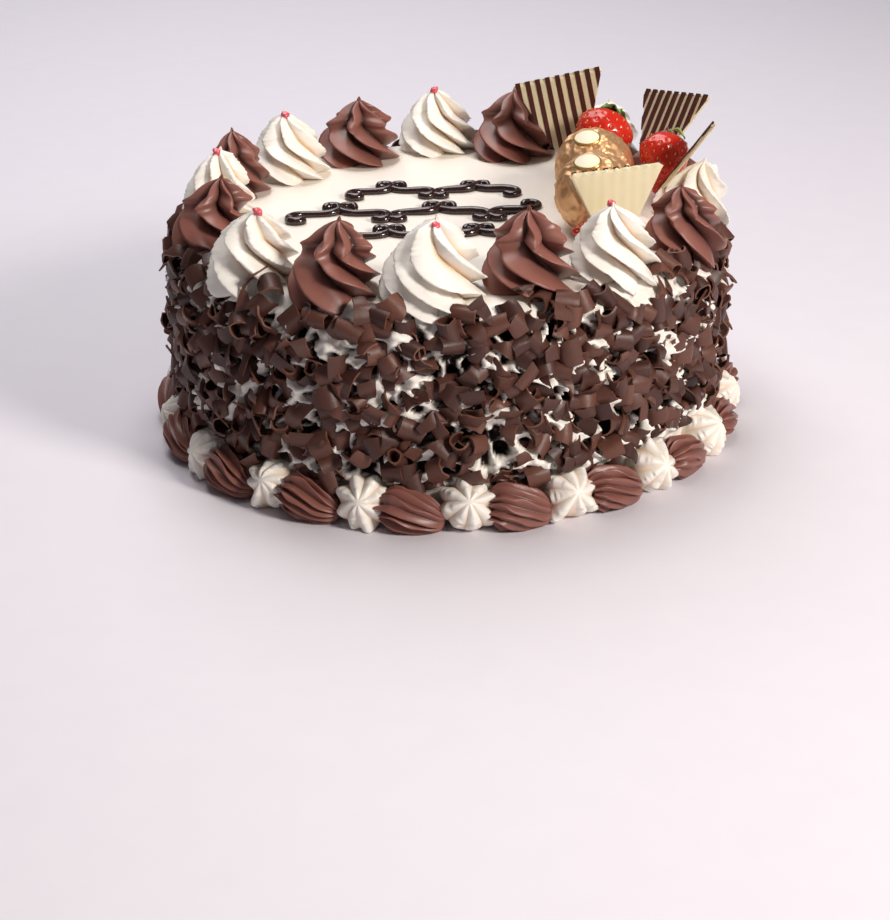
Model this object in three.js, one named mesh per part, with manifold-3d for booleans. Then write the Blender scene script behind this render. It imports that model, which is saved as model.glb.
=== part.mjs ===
// Chocolate hazelnut cake, 8 inches across and 3 inches high, as a three.js scene graph.
// Millimetres, +Z up. The origin is the centre of the underside; -Y is the front.
// Bearings round the cake are degrees from the front (-Y), growing towards +X.

import * as THREE from 'three';
import { mergeVertices } from 'three/addons/utils/BufferGeometryUtils.js';
import Module from 'manifold-3d';

const wasm = await Module();
wasm.setup();

// ---------------------------------------------------------------- driving dimensions

const CLEARANCE = 0.35;            // air left between pieces that touch
const CAKE_RADIUS = 102.5;         // cream-coated sponge, without the curls
const CAKE_HEIGHT = 80;
const RIM_ROUND = 6;               // rounding of the top edge
const CAKE_SIDES = 60;

const ROSETTE_RIDGES = 6;
const ROSETTE_TWIST = 5.2;         // degrees of turn for each millimetre of height
const ROSETTE_GROOVE = 0.22;       // depth of a groove, as a share of the radius
// Each rosette as piped, by turns cream and chocolate: middle of its foot, radius and tip.
const ROSETTES = [
  { foot: [-70, -60.5], radius: 16.5, tip: [-67, -62, 106] },
  { foot: [-40, -79.5], radius: 16.2, tip: [-37, -78, 107.5] },
  { foot: [-5.2, -85.5], radius: 18.4, tip: [-3, -83, 109] },
  { foot: [29.5, -77.5], radius: 16.7, tip: [29, -77, 109.5] },
  { foot: [60.3, -65.2], radius: 16.2, tip: [59.3, -66.5, 106.5] },
  { foot: [89, -37.5], radius: 15, tip: [86.5, -39, 104] },
  { foot: [94.5, -5], radius: 15, tip: [100, -4, 102.5] },
  { foot: [88.5, 38.5], radius: 14.5, tip: [90, 37.5, 103] },
  { foot: [67, 65.5], radius: 15.5, tip: [69.5, 67, 107] },
  { foot: [30, 81], radius: 17.2, tip: [30.5, 85, 107.5] },
  { foot: [-2, 92], radius: 16.3, tip: [-3, 94, 106.5] },
  { foot: [-36, 79], radius: 17.3, tip: [-35, 82, 106] },
  { foot: [-63.5, 57.5], radius: 16, tip: [-65, 62, 106.5] },
  { foot: [-83, 36], radius: 12.7, tip: [-85, 40, 106] },
  { foot: [-89, 9.5], radius: 14.2, tip: [-87, 14, 106] },
  { foot: [-87.5, -23], radius: 16.2, tip: [-83, -24, 106.5] },
];

const BORDER_START = -86.95;       // bearing of the first piped shell
const BORDER_FRONT_PIECES = 18;    // pieces on the front arc, ten degrees apart
const BORDER_FRONT_STEP = 10;
const BORDER_BACK_PIECES = 16;     // the rest, spread over what is left
const STAR_RADIUS = 107;           // where a star's middle lies
const STAR_HEIGHT = 8.4;
const STAR_TILT = 28;              // degrees that a star points upwards
const STAR_RIDGES = 8;
const SHELL_LENGTH = 20.6;
const SHELL_WIDTH = 14;
const SHELL_HEIGHT = 14.5;
const SHELL_RIDGE_POINTS = 9;

const BUMP_ROWS = 7;               // rows of small bumps where the fine shavings lie
const BUMP_HEIGHT = 2.8;
const BUMP_BAND = [23, 75];
const CURL_ROWS = 4;               // rows of whole curls up the side
const CURLS_PER_ROW = 15;
const CURL_BAND = [26, 74];        // heights of the lowest and highest row
const CURL_WALL = 1.0;
const CURL_SEGMENTS = 3;

const PIPING_WIDTH = 3.6;          // chocolate line piped on the top
const PIPING_HEIGHT = 2.6;

// ---------------------------------------------------------------- colours

const material = (color, roughness, metalness = 0) =>
  new THREE.MeshStandardMaterial({ color, roughness, metalness });

const CREAM = material('#f3ece0', 0.45);
const CHOCOLATE_CREAM = material('#7c5244', 0.42);
const SIDE_CHOCOLATE = material('#46292a', 0.5);
const WHITE_CHOCOLATE = material('#e3d5b2', 0.4);
const STRIPED_CHOCOLATE = material('#4a2622', 0.35);
const GOLD_FOIL = material('#d29a5f', 0.3, 1);
const STRAWBERRY = material('#d3281f', 0.35);

// ---------------------------------------------------------------- small helpers

const DEG = Math.PI / 180;
const onCircle = (radius, bearing, z = 0) => new THREE.Vector3(
  radius * Math.sin(bearing * DEG), -radius * Math.cos(bearing * DEG), z);

/** A repeatable source of numbers from 0 to 1. */
function seeded(seed) {
  let state = seed;
  return () => {
    state = (state + 0x6d2b79f5) | 0;
    let t = Math.imul(state ^ (state >>> 15), 1 | state);
    t = (t + Math.imul(t ^ (t >>> 7), 61 | t)) ^ t;
    return ((t ^ (t >>> 14)) >>> 0) / 4294967296;
  };
}

const middleOf = (ring) =>
  ring.reduce((sum, point) => sum.add(point), new THREE.Vector3()).divideScalar(ring.length);

/** Closed geometry through a stack of rings with equal counts; each end is a fan to a point. */
function skin(rings, end = middleOf(rings[rings.length - 1])) {
  const count = rings[0].length;
  const points = [...rings.flat(), middleOf(rings[0]), end];
  const last = (rings.length - 1) * count;
  const startPoint = points.length - 2;
  const endPoint = points.length - 1;
  const index = [];
  for (let i = 0; i < count; i++) {
    const j = (i + 1) % count;
    for (let a = 0; a < last; a += count) {
      index.push(a + i, a + j, a + count + j, a + i, a + count + j, a + count + i);
    }
    index.push(j, i, startPoint, last + i, last + j, endPoint);
  }
  const geometry = new THREE.BufferGeometry();
  geometry.setAttribute('position', new THREE.Float32BufferAttribute(points.flatMap((p) => p.toArray()), 3));
  geometry.setIndex(index);
  return geometry;
}

/** Manifold solid of a closed geometry. */
function solidOf(geometry) {
  const plain = geometry.clone();
  plain.deleteAttribute('normal');
  plain.deleteAttribute('uv');
  const merged = mergeVertices(plain, 1e-4);
  return new wasm.Manifold(new wasm.Mesh({
    numProp: 3,
    vertProperties: new Float32Array(merged.attributes.position.array),
    triVerts: new Uint32Array(merged.index.array),
  }));
}

/** Geometry of a manifold solid. */
function geometryOf(solid) {
  const mesh = solid.getMesh();
  const geometry = new THREE.BufferGeometry();
  geometry.setAttribute('position', new THREE.Float32BufferAttribute(mesh.vertProperties, 3));
  geometry.setIndex(Array.from(mesh.triVerts));
  return geometry;
}

const touches = (a, b) => !a.intersect(b).isEmpty();

/** A solid without the scraps that a cut or a join left loose. */
const withoutScraps = (solid) => solid.decompose().sort((a, b) => b.volume() - a.volume())[0];

const cake = new THREE.Group();

function place(name, geometry, finish) {
  const mesh = new THREE.Mesh(geometry, finish);
  mesh.name = name;
  cake.add(mesh);
  return mesh;
}

// ---------------------------------------------------------------- chocolate plates
// Thin triangular plates, flat on one side and finely ribbed on the other, standing point down.

const PLATE_WIDTH = 37;
const PLATE_POINT = 6;             // width left at the lower end
const PLATE_THICKNESS = 1.9;
const PLATE_RIBS = 9;
const RIB_DEPTH = 0.5;

// Each plate: middle of its lower end, middle of its top edge, and the way its ribs face.
const PLATES = [
  { name: 'striped_plate_left', foot: [54.5, 53.5, 81.5], head: [46.9, 58, 118.8], ribs: [-0.1, -1, 0.1] },
  { name: 'striped_plate_right', foot: [80.8, 36, 83.3], head: [95.2, 52, 112.2], ribs: [-0.68, -0.44, 0.58] },
  { name: 'cream_plate_front', foot: [61.9, -48, 81.5], head: [61.9, -48, 112.5], ribs: [-0.33, 0.94, 0] },
  { name: 'cream_plate_side', foot: [83.4, -4, 90.9], head: [103.1, 0, 114.5], ribs: [-0.76, 0.27, 0.59] },
];

/** One plate; grown by a clearance and without its ribs it is the slot that it stands in. */
function plateGeometry({ foot, head, ribs }, grow = 0) {
  const base = new THREE.Vector3(...foot);
  const up = new THREE.Vector3(...head).sub(base);
  const height = up.length();
  up.normalize();
  const out = new THREE.Vector3(...ribs);
  out.addScaledVector(up, -out.dot(up)).normalize();
  const across = new THREE.Vector3().crossVectors(out, up);
  const half = PLATE_WIDTH / 2;
  const outline = new THREE.Shape();
  outline.moveTo(-half, -PLATE_THICKNESS / 2 - grow);
  outline.lineTo(half, -PLATE_THICKNESS / 2 - grow);
  for (let i = 2 * PLATE_RIBS; i >= 0; i--) {
    const depth = i % 2 || grow ? PLATE_THICKNESS / 2 : PLATE_THICKNESS / 2 - RIB_DEPTH;
    outline.lineTo(half * (i / PLATE_RIBS - 1), depth + grow);
  }
  const geometry = new THREE.ExtrudeGeometry(outline, { depth: height, bevelEnabled: false });
  const position = geometry.attributes.position;
  const point = new THREE.Vector3();
  for (let i = 0; i < position.count; i++) {
    point.fromBufferAttribute(position, i);
    const share = point.z / height;
    const taper = THREE.MathUtils.lerp(PLATE_POINT / PLATE_WIDTH, 1, share) + grow / half;
    const along = point.z + (share > 0.5 ? grow : -grow);
    point.set(
      base.x + across.x * point.x * taper + out.x * point.y + up.x * along,
      base.y + across.y * point.x * taper + out.y * point.y + up.y * along,
      base.z + across.z * point.x * taper + out.z * point.y + up.z * along);
    position.setXYZ(i, point.x, point.y, point.z);
  }
  geometry.deleteAttribute('normal');
  geometry.deleteAttribute('uv');
  return mergeVertices(geometry, 1e-4);
}

const plates = PLATES.map((plate) => ({ ...plate, solid: solidOf(plateGeometry(plate)) }));
const plateSlots = PLATES.map((plate) => solidOf(plateGeometry(plate, CLEARANCE)));

for (const plate of plates) {
  const finish = plate.name.startsWith('striped') ? STRIPED_CHOCOLATE : WHITE_CHOCOLATE;
  place(plate.name, geometryOf(plate.solid), finish);
}

// ---------------------------------------------------------------- foil-wrapped pralines

const PRALINE_RADIUS = 15.4;
const PRALINE_PLEATS = 6;
const PRALINE_SEAT = 68;           // degrees below the equator where the flat seat is cut
const PRALINES = [
  { name: 'praline_back', at: [58.8, 13.2] },
  { name: 'praline_front', at: [56.6, -18.4] },
];

/** A ball of crumpled foil: shallow pleats that fade out towards the top, and a flat seat. */
function pralineGeometry([x, y]) {
  const steps = 6;
  const seat = PRALINE_RADIUS * Math.sin(PRALINE_SEAT * DEG);
  const centre = new THREE.Vector3(x, y, CAKE_HEIGHT + CLEARANCE + seat);
  const rings = [];
  for (let k = 0; k < steps; k++) {
    const angle = THREE.MathUtils.lerp(-PRALINE_SEAT, 90, k / steps) * DEG;
    const ring = [];
    for (let i = 0; i < 2 * PRALINE_PLEATS; i++) {
      const pleat = 1 - (i % 2) * 0.05 * (1 - k / steps);
      const around = i * Math.PI / PRALINE_PLEATS;
      const r = PRALINE_RADIUS * Math.cos(angle) * pleat;
      ring.push(new THREE.Vector3(r * Math.cos(around), r * Math.sin(around),
        PRALINE_RADIUS * Math.sin(angle)).add(centre));
    }
    rings.push(ring);
  }
  return skin(rings, centre.clone().setZ(centre.z + PRALINE_RADIUS));
}

for (const praline of PRALINES) place(praline.name, pralineGeometry(praline.at), GOLD_FOIL);

// ---------------------------------------------------------------- strawberries

const BERRY_PROFILE = [            // share of the length, share of the radius
  [0, 0.35], [0.1, 0.72], [0.3, 0.97], [0.55, 0.96], [0.78, 0.72], [0.93, 0.38],
];
const BERRY_SIDES = 10;
const LEAF_LENGTH = 6.5;
const LEAF_WIDTH = 3.6;
const LEAF_THICKNESS = 0.9;

// Each berry: the middle of its stalk end, its pointed end, radius, and how many leaves show.
const BERRIES = [
  { name: 'strawberry_back', top: [68.5, 46, 107], tip: [58.5, 34, 87], radius: 12.4, leaves: 5 },
  { name: 'strawberry_right', top: [88.5, 19.5, 106], tip: [83.5, 14.5, 82], radius: 10.2, leaves: 3 },
  { name: 'strawberry_front', top: [72, -38, 87.5], tip: [46.5, -41, 86.8], radius: 6.2, leaves: 0 },
];

function berrySolid({ top, tip, radius, leaves }) {
  const start = new THREE.Vector3(...top);
  const axis = new THREE.Vector3(...tip).sub(start);
  const side = new THREE.Vector3(0, 0, 1).cross(axis).normalize();
  const other = new THREE.Vector3().crossVectors(axis, side).normalize();
  const direction = (turn) => side.clone().multiplyScalar(Math.cos(turn)).addScaledVector(other, Math.sin(turn));
  const rings = BERRY_PROFILE.map(([along, share]) => {
    const ring = [];
    for (let i = 0; i < BERRY_SIDES; i++) {
      ring.push(direction(i * 2 * Math.PI / BERRY_SIDES).multiplyScalar(radius * share)
        .add(start).addScaledVector(axis, along));
    }
    return ring;
  });
  let berry = solidOf(skin(rings, new THREE.Vector3(...tip)));
  const out = axis.clone().normalize().negate();
  for (let i = 0; i < leaves; i++) {
    const away = direction((i + 0.4) * 2 * Math.PI / leaves);
    const across = new THREE.Vector3().crossVectors(out, away);
    const leaf = [0, 0.4, 0.75, 1].map((share) => {
      const lift = 2.2 * Math.sin(share * Math.PI) - 2.5 * share * share;
      const middle = start.clone().addScaledVector(away, LEAF_LENGTH * share).addScaledVector(out, lift);
      const half = LEAF_WIDTH / 2 * Math.sin((0.25 + 0.7 * share) * Math.PI);
      return [[-1, -1], [1, -1], [1, 1], [-1, 1]].map(([u, v]) => middle.clone()
        .addScaledVector(across, u * half)
        .addScaledVector(out, v * LEAF_THICKNESS / 2));
    });
    berry = berry.add(solidOf(skin(leaf)));
  }
  return berry;
}

const berries = BERRIES.map((berry) => ({ ...berry, solid: berrySolid(berry) }));
for (const berry of berries) place(berry.name, geometryOf(berry.solid), STRAWBERRY);

// ---------------------------------------------------------------- rosettes on the top
// Soft cream swirls from an open star tip: twisted ridges that wind down to the right.

const ROSETTE_PROFILE = [          // share of the height, share of the radius
  [0, 0.88], [0.14, 1], [0.32, 0.98], [0.5, 0.88], [0.67, 0.73], [0.84, 0.46],
];

function rosetteSolid({ foot, radius, tip }) {
  const base = CAKE_HEIGHT + CLEARANCE;
  const height = tip[2] - base;
  const rings = ROSETTE_PROFILE.map(([up, share]) => {
    const z = up * height;
    const lean = up * up;
    const x = THREE.MathUtils.lerp(foot[0], tip[0], lean);
    const y = THREE.MathUtils.lerp(foot[1], tip[1], lean);
    const ring = [];
    for (let i = 0; i < 2 * ROSETTE_RIDGES; i++) {
      const turn = (i * 180 / ROSETTE_RIDGES - ROSETTE_TWIST * z) * DEG;
      const r = radius * share * (i % 2 ? 1 - ROSETTE_GROOVE : 1);
      ring.push(new THREE.Vector3(x + r * Math.cos(turn), y + r * Math.sin(turn), base + z));
    }
    return ring;
  });
  let solid = solidOf(skin(rings, new THREE.Vector3(...tip)));
  for (const slot of plateSlots) {
    if (touches(solid, slot)) solid = withoutScraps(solid.subtract(slot));
  }
  return solid;
}

const rosettes = ROSETTES.map(rosetteSolid);

rosettes.forEach((solid, i) => {
  const kind = i % 2 ? 'rosette_chocolate_' : 'rosette_cream_';
  place(kind + (Math.floor(i / 2) + 1), geometryOf(solid), i % 2 ? CHOCOLATE_CREAM : CREAM);
});

// ---------------------------------------------------------------- border round the foot
// Chocolate shells and cream stars by turns, leaning on the side and standing on z = 0.

const STAR_RINGS = [[-5, 0.93], [2.6, 1]];   // along its axis, share of the size
const STAR_POINT = 9.4;
const STAR_HALF_WIDTH = 8;
const STAR_HALF_HEIGHT = 8.6;
const STAR_GROOVE = 0.2;

/** Keeps a point outside the cake's side and above the floor. */
function settled(point) {
  const out = Math.hypot(point.x, point.y);
  const nearest = CAKE_RADIUS + CLEARANCE;
  if (out < nearest) {
    point.x *= nearest / out;
    point.y *= nearest / out;
  }
  point.z = Math.max(point.z, 0);
  return point;
}

function starGeometry(bearing) {
  const outwards = onCircle(1, bearing);
  const along = onCircle(1, bearing + 90);
  const axis = outwards.clone().multiplyScalar(Math.cos(STAR_TILT * DEG));
  axis.z = Math.sin(STAR_TILT * DEG);
  const upwards = outwards.clone().multiplyScalar(-Math.sin(STAR_TILT * DEG));
  upwards.z = Math.cos(STAR_TILT * DEG);
  const centre = onCircle(STAR_RADIUS, bearing, STAR_HEIGHT);
  const rings = STAR_RINGS.map(([ahead, share]) => {
    const middle = centre.clone().addScaledVector(axis, ahead);
    const ring = [];
    for (let i = 0; i < 2 * STAR_RIDGES; i++) {
      const turn = (i * 180 / STAR_RIDGES) * DEG;
      const size = share * (i % 2 ? 1 - STAR_GROOVE : 1);
      ring.push(settled(middle.clone()
        .addScaledVector(along, STAR_HALF_WIDTH * size * Math.cos(turn))
        .addScaledVector(upwards, STAR_HALF_HEIGHT * size * Math.sin(turn))));
    }
    return ring;
  });
  return skin(rings, centre.addScaledVector(axis, STAR_POINT));
}

const SHELL_STATIONS = [[-0.5, 0.4], [-0.36, 0.85], [-0.1, 1], [0.2, 0.8], [0.5, 0.3]];
const SHELL_GROOVE = 0.16;

function shellGeometry(bearing) {
  const middle = CAKE_RADIUS + CLEARANCE + SHELL_WIDTH / 2;
  const rings = SHELL_STATIONS.map(([share, size]) => {
    const turn = bearing + share * SHELL_LENGTH / middle / DEG;
    const ring = [];
    for (let i = 0; i < SHELL_RIDGE_POINTS; i++) {
      const over = Math.PI * i / (SHELL_RIDGE_POINTS - 1);
      const ridge = size * (i % 2 ? 1 - SHELL_GROOVE : 1);
      ring.push(settled(onCircle(middle + SHELL_WIDTH / 2 * ridge * Math.cos(over), turn,
        SHELL_HEIGHT * ridge * Math.sin(over))));
    }
    return ring.reverse();
  });
  return skin(rings);
}

const borderPieces = BORDER_FRONT_PIECES + BORDER_BACK_PIECES;
const borderBackStep = (360 - BORDER_FRONT_STEP * (BORDER_FRONT_PIECES - 1)) / (BORDER_BACK_PIECES + 1);
const border = [];
for (let i = 0; i < borderPieces; i++) {
  const onFront = Math.min(i, BORDER_FRONT_PIECES - 1);
  const bearing = BORDER_START + BORDER_FRONT_STEP * onFront + borderBackStep * (i - onFront);
  const isStar = i % 2 === 1;
  const geometry = isStar ? starGeometry(bearing) : shellGeometry(bearing);
  const name = (isStar ? 'border_star_' : 'border_shell_') + (Math.floor(i / 2) + 1);
  place(name, geometry, isStar ? CREAM : CHOCOLATE_CREAM);
  border.push(solidOf(geometry));
}

// ---------------------------------------------------------------- curls on the side
// Rolled chocolate shavings pressed into the cream, each partly sunk in it.

/** A C-shaped roll: an arc of wall swept along its own axis. */
function curlSolid({ centre, axis, opening, radius, length, arc }, grow = 0) {
  const side = new THREE.Vector3().crossVectors(axis, opening).normalize();
  const front = new THREE.Vector3().crossVectors(side, axis).normalize();
  const section = [];
  for (let wall = 0; wall < 2; wall++) {
    for (let i = 0; i <= CURL_SEGMENTS; i++) {
      const step = wall ? CURL_SEGMENTS - i : i;
      const turn = (180 - arc / 2 + arc * step / CURL_SEGMENTS) * DEG;
      const r = wall ? radius - CURL_WALL - grow : radius + grow;
      section.push([r * Math.cos(turn), r * Math.sin(turn)]);
    }
  }
  const half = length / 2 + grow;
  const rings = [-half, half].map((along) => section.map(([u, v]) => centre.clone()
    .addScaledVector(front, u).addScaledVector(side, v).addScaledVector(axis, along)));
  const count = section.length;
  const contour = section.map(([u, v]) => new THREE.Vector2(u, v));
  const caps = THREE.ShapeUtils.triangulateShape(contour, []);
  const index = [];
  for (let i = 0; i < count; i++) {
    const j = (i + 1) % count;
    index.push(i, j, count + j, i, count + j, count + i);
  }
  for (const [a, b, c] of caps) index.push(c, b, a, count + a, count + b, count + c);
  const geometry = new THREE.BufferGeometry();
  geometry.setAttribute('position',
    new THREE.Float32BufferAttribute(rings.flat().flatMap((p) => p.toArray()), 3));
  geometry.setIndex(index);
  return solidOf(geometry);
}

/** A curl lying on the side at a bearing and height, turned at random. */
function curlAt(bearing, z, random) {
  const radius = 3.1 + 1.1 * random();
  const outwards = onCircle(1, bearing);
  const along = onCircle(1, bearing + 90);
  const up = new THREE.Vector3(0, 0, 1);
  const slant = random() * Math.PI;
  const tip = 0.25 * (random() - 0.5);
  const axis = along.multiplyScalar(Math.cos(slant)).addScaledVector(up, Math.sin(slant))
    .addScaledVector(outwards, tip).normalize();
  const turn = (random() - 0.5) * 2.4;
  const around = new THREE.Vector3().crossVectors(axis, outwards).normalize();
  const opening = outwards.clone().multiplyScalar(Math.cos(turn)).addScaledVector(around, Math.sin(turn));
  return {
    centre: onCircle(CAKE_RADIUS + radius * 0.75, bearing, z),
    axis, opening, radius,
    length: 8.5 + 3.5 * random(),
    arc: 190 + 60 * random(),
  };
}

const neighbours = [...rosettes, ...border, ...plates.map((plate) => plate.solid),
  ...berries.map((berry) => berry.solid)];
const boxes = neighbours.map((solid) => solid.boundingBox());

function isClear(solid) {
  const own = solid.boundingBox();
  return neighbours.every((other, i) => {
    const apart = [0, 1, 2].some((k) => own.min[k] > boxes[i].max[k] || own.max[k] < boxes[i].min[k]);
    return apart || !touches(solid, other);
  });
}

const curls = [];
const randomCurl = seeded(20);
for (let row = 0; row < CURL_ROWS; row++) {
  for (let i = 0; i < CURLS_PER_ROW; i++) {
    const step = 360 / CURLS_PER_ROW;
    const bearing = (i + 0.5 * (row % 2) + 0.35 * (randomCurl() - 0.5)) * step;
    const height = THREE.MathUtils.lerp(...CURL_BAND, row / (CURL_ROWS - 1)) + 3 * (randomCurl() - 0.5);
    const curl = curlAt(bearing, height, randomCurl);
    if (isClear(curlSolid(curl, CLEARANCE))) curls.push(curlSolid(curl));
  }
}

// ---------------------------------------------------------------- scrollwork on the top
// A piped chocolate line: a row of large S scrolls between two rows of small ones.

const SCROLL_TURN = 1.85;          // how far each end of a scroll winds in
const SCROLL_REACH = 0.78;         // furthest that a scroll of unit scale reaches from its middle
const SCROLL_STEPS = 10;
// Each row: height across the top, the first scroll's place, spacing, number and half-length.
const SCROLL_ROWS = [
  { y: 30, x: -30, spacing: 17, count: 4, reach: 8.4 },
  { y: 3, x: -51, spacing: 19.5, count: 5, reach: 9.7 },
  { y: -24, x: -30, spacing: 17, count: 4, reach: 8.4 },
];

/** A scroll whose bend grows evenly from its middle to both ends (a Cornu spiral). */
function scrollPath({ x, y, reach, hand }) {
  const step = 2 * SCROLL_TURN / SCROLL_STEPS;
  const scale = reach / SCROLL_REACH;
  const half = [new THREE.Vector2()];
  for (let i = 0; i < SCROLL_STEPS / 2; i++) {
    const heading = Math.PI / 2 * ((i + 0.5) * step) ** 2;
    const last = half[half.length - 1];
    half.push(new THREE.Vector2(last.x + step * Math.cos(heading), last.y + step * Math.sin(heading)));
  }
  const path = [...half.slice(1).reverse().map((point) => point.clone().negate()), ...half];
  return path.map((point) => new THREE.Vector2(x + scale * point.x, y + scale * hand * point.y));
}

/** A rounded ridge of piped chocolate along a path, its foot just inside the cream. */
function strokeSolid(points) {
  const last = points.length - 1;
  const rings = points.map((point, i) => {
    const before = points[Math.max(i - 1, 0)];
    const after = points[Math.min(i + 1, last)];
    const across = new THREE.Vector2(after.y - before.y, before.x - after.x).normalize();
    const size = i === 0 || i === last ? 0.6 : 1;
    return [[-0.5, -0.3], [0.5, -0.3], [0, 1]].map(([u, v]) => new THREE.Vector3(
      point.x + across.x * u * PIPING_WIDTH * size,
      point.y + across.y * u * PIPING_WIDTH * size,
      CAKE_HEIGHT + v * PIPING_HEIGHT * size));
  });
  return solidOf(skin(rings.map((ring) => ring.reverse())));
}

const strokes = [];
for (const { y, x, spacing, count, reach } of SCROLL_ROWS) {
  for (let i = 0; i < count; i++) {
    strokes.push(strokeSolid(scrollPath({ x: x + i * spacing, y, reach, hand: i % 2 ? -1 : 1 })));
  }
}

// ---------------------------------------------------------------- the cake itself

const randomBump = seeded(7);
const coreRing = (radius, z, bump = 0) => {
  const ring = [];
  for (let i = 0; i < CAKE_SIDES; i++) {
    ring.push(onCircle(radius + bump * randomBump(), i * 360 / CAKE_SIDES, z));
  }
  return ring;
};

const coreRings = [coreRing(CAKE_RADIUS, 0), coreRing(CAKE_RADIUS, BUMP_BAND[0] - 4)];
for (let row = 0; row < BUMP_ROWS; row++) {
  coreRings.push(coreRing(CAKE_RADIUS, THREE.MathUtils.lerp(...BUMP_BAND, row / (BUMP_ROWS - 1)), BUMP_HEIGHT));
}
coreRings.push(coreRing(CAKE_RADIUS - 0.3 * RIM_ROUND, CAKE_HEIGHT - 0.3 * RIM_ROUND));
coreRings.push(coreRing(CAKE_RADIUS - RIM_ROUND, CAKE_HEIGHT));
const coreGeometry = skin(coreRings);

let whole = solidOf(coreGeometry);
for (const piece of [...curls, ...strokes]) whole = whole.add(piece);
place('cake', geometryOf(withoutScraps(whole)), SIDE_CHOCOLATE);

export default cake;
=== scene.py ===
"""A chocolate hazelnut cake: 205 mm across and 80 mm high under its cream.

Metres, +Z up. The origin is the middle of the underside and -Y is the front of the cake.
"""

import math

import bpy
import numpy as np
from mathutils import Matrix, Vector


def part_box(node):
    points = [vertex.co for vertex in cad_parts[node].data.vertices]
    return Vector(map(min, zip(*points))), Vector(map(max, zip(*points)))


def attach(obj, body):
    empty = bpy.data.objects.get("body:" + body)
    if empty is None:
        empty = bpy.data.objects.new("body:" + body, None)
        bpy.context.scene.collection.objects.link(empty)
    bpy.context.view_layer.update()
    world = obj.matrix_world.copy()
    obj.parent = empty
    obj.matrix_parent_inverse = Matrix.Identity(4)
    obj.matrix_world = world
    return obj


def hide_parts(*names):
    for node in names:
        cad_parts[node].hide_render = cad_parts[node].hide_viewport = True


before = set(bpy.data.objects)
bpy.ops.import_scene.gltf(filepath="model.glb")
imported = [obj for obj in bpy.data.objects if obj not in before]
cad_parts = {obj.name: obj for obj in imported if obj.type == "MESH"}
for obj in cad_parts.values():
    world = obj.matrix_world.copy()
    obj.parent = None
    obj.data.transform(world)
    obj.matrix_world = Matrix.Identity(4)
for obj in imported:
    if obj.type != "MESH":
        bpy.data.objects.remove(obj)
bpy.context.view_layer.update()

# ---------------------------------------------------------------- camera
# The photograph looks down on the cake by 25.7 degrees from 0.82 m, through a lens that is
# long for its format, with the picture turned by a little over one degree.

PHOTO_HEIGHT = 920          # pixels
FOCAL_PIXELS = 1987.8
SENSOR = 36.0               # mm, along the picture's longer side
LOOK_DOWN = math.radians(25.67)
PICTURE_ROLL = math.radians(1.25)
CAMERA_DISTANCE = 0.8193
AIM = Vector((-0.0022, 0.0, -0.0252))

back = Vector((0, -math.cos(LOOK_DOWN), math.sin(LOOK_DOWN)))
level = Vector((1, 0, 0))
upright = Vector((0, math.sin(LOOK_DOWN), math.cos(LOOK_DOWN)))
picture_right = level * math.cos(PICTURE_ROLL) - upright * math.sin(PICTURE_ROLL)
picture_up = level * math.sin(PICTURE_ROLL) + upright * math.cos(PICTURE_ROLL)

camera = bpy.data.objects.new("camera", bpy.data.cameras.new("camera"))
bpy.context.collection.objects.link(camera)
camera.data.sensor_width = SENSOR
camera.data.lens = FOCAL_PIXELS * SENSOR / PHOTO_HEIGHT
turned = Matrix((picture_right, picture_up, back)).transposed().to_4x4()
camera.matrix_world = Matrix.Translation(AIM + back * CAMERA_DISTANCE) @ turned
bpy.context.scene.camera = camera

# ---------------------------------------------------------------- studio light
# A soft box stands to the front and right, as in the photograph, where the left of the cake
# falls into shade; weak ones fill the left and the top, and one lights the floor behind.


def linear(code):
    """Linear RGBA of an sRGB hex colour: the sRGB curve undone for each channel."""
    srgb = np.array([int(code[i:i + 2], 16) for i in (1, 3, 5)]) / 255
    light = np.where(srgb <= 0.04045, srgb / 12.92, ((srgb + 0.055) / 1.055) ** 2.4)
    return (*light.tolist(), 1.0)


LIGHTS = [                  # name, place, aim, side in metres, watts, colour
    ("key_light", (0.70, -0.66, 0.62), (0, 0, 0.05), 0.24, 10.7, "#fff6ee"),
    ("side_fill", (-0.60, -0.80, 0.45), (0, 0, 0.05), 0.8, 0.12, "#f2f0ff"),
    ("top_light", (-0.06, 0.20, 0.98), (0, 0, 0.05), 0.5, 5.2, "#fffaf6"),
    ("back_light", (-0.25, 0.85, 0.90), (-0.2, 0.75, 0), 0.8, 6.0, "#fbf8ff"),
]
ROOM_COLOUR = "#e9e4ee"
ROOM_STRENGTH = 0.075

for name, place, aim, side, watts, colour in LIGHTS:
    lamp = bpy.data.lights.new(name, "AREA")
    lamp.size = side
    lamp.energy = watts
    lamp.color = linear(colour)[:3]
    light = bpy.data.objects.new(name, lamp)
    bpy.context.collection.objects.link(light)
    light.location = place
    light.rotation_euler = (Vector(aim) - Vector(place)).to_track_quat("-Z", "Y").to_euler()

world = bpy.data.worlds.new("room")
world.use_nodes = True
world.node_tree.nodes["Background"].inputs["Color"].default_value = linear(ROOM_COLOUR)
world.node_tree.nodes["Background"].inputs["Strength"].default_value = ROOM_STRENGTH
bpy.context.scene.world = world
bpy.context.scene.view_settings.view_transform = "Standard"

# ---------------------------------------------------------------- floor
# A plain pale table top, sealed paint with a faint unevenness.

FLOOR_SIZE = 6.0
FLOOR_COLOURS = ("#e2dfe7", "#e6e3ea")
FLOOR_GRAIN = 60.0          # patches per metre


def add_node(material, kind, settings=None, inputs=None):
    """Adds one node: settings are its properties, inputs are values or the sockets to link."""
    node = material.node_tree.nodes.new(kind)
    for key, value in (settings or {}).items():
        setattr(node, key, value)
    for key, value in (inputs or {}).items():
        if isinstance(value, bpy.types.NodeSocket):
            material.node_tree.links.new(value, node.inputs[key])
        else:
            node.inputs[key].default_value = value
    return node


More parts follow.
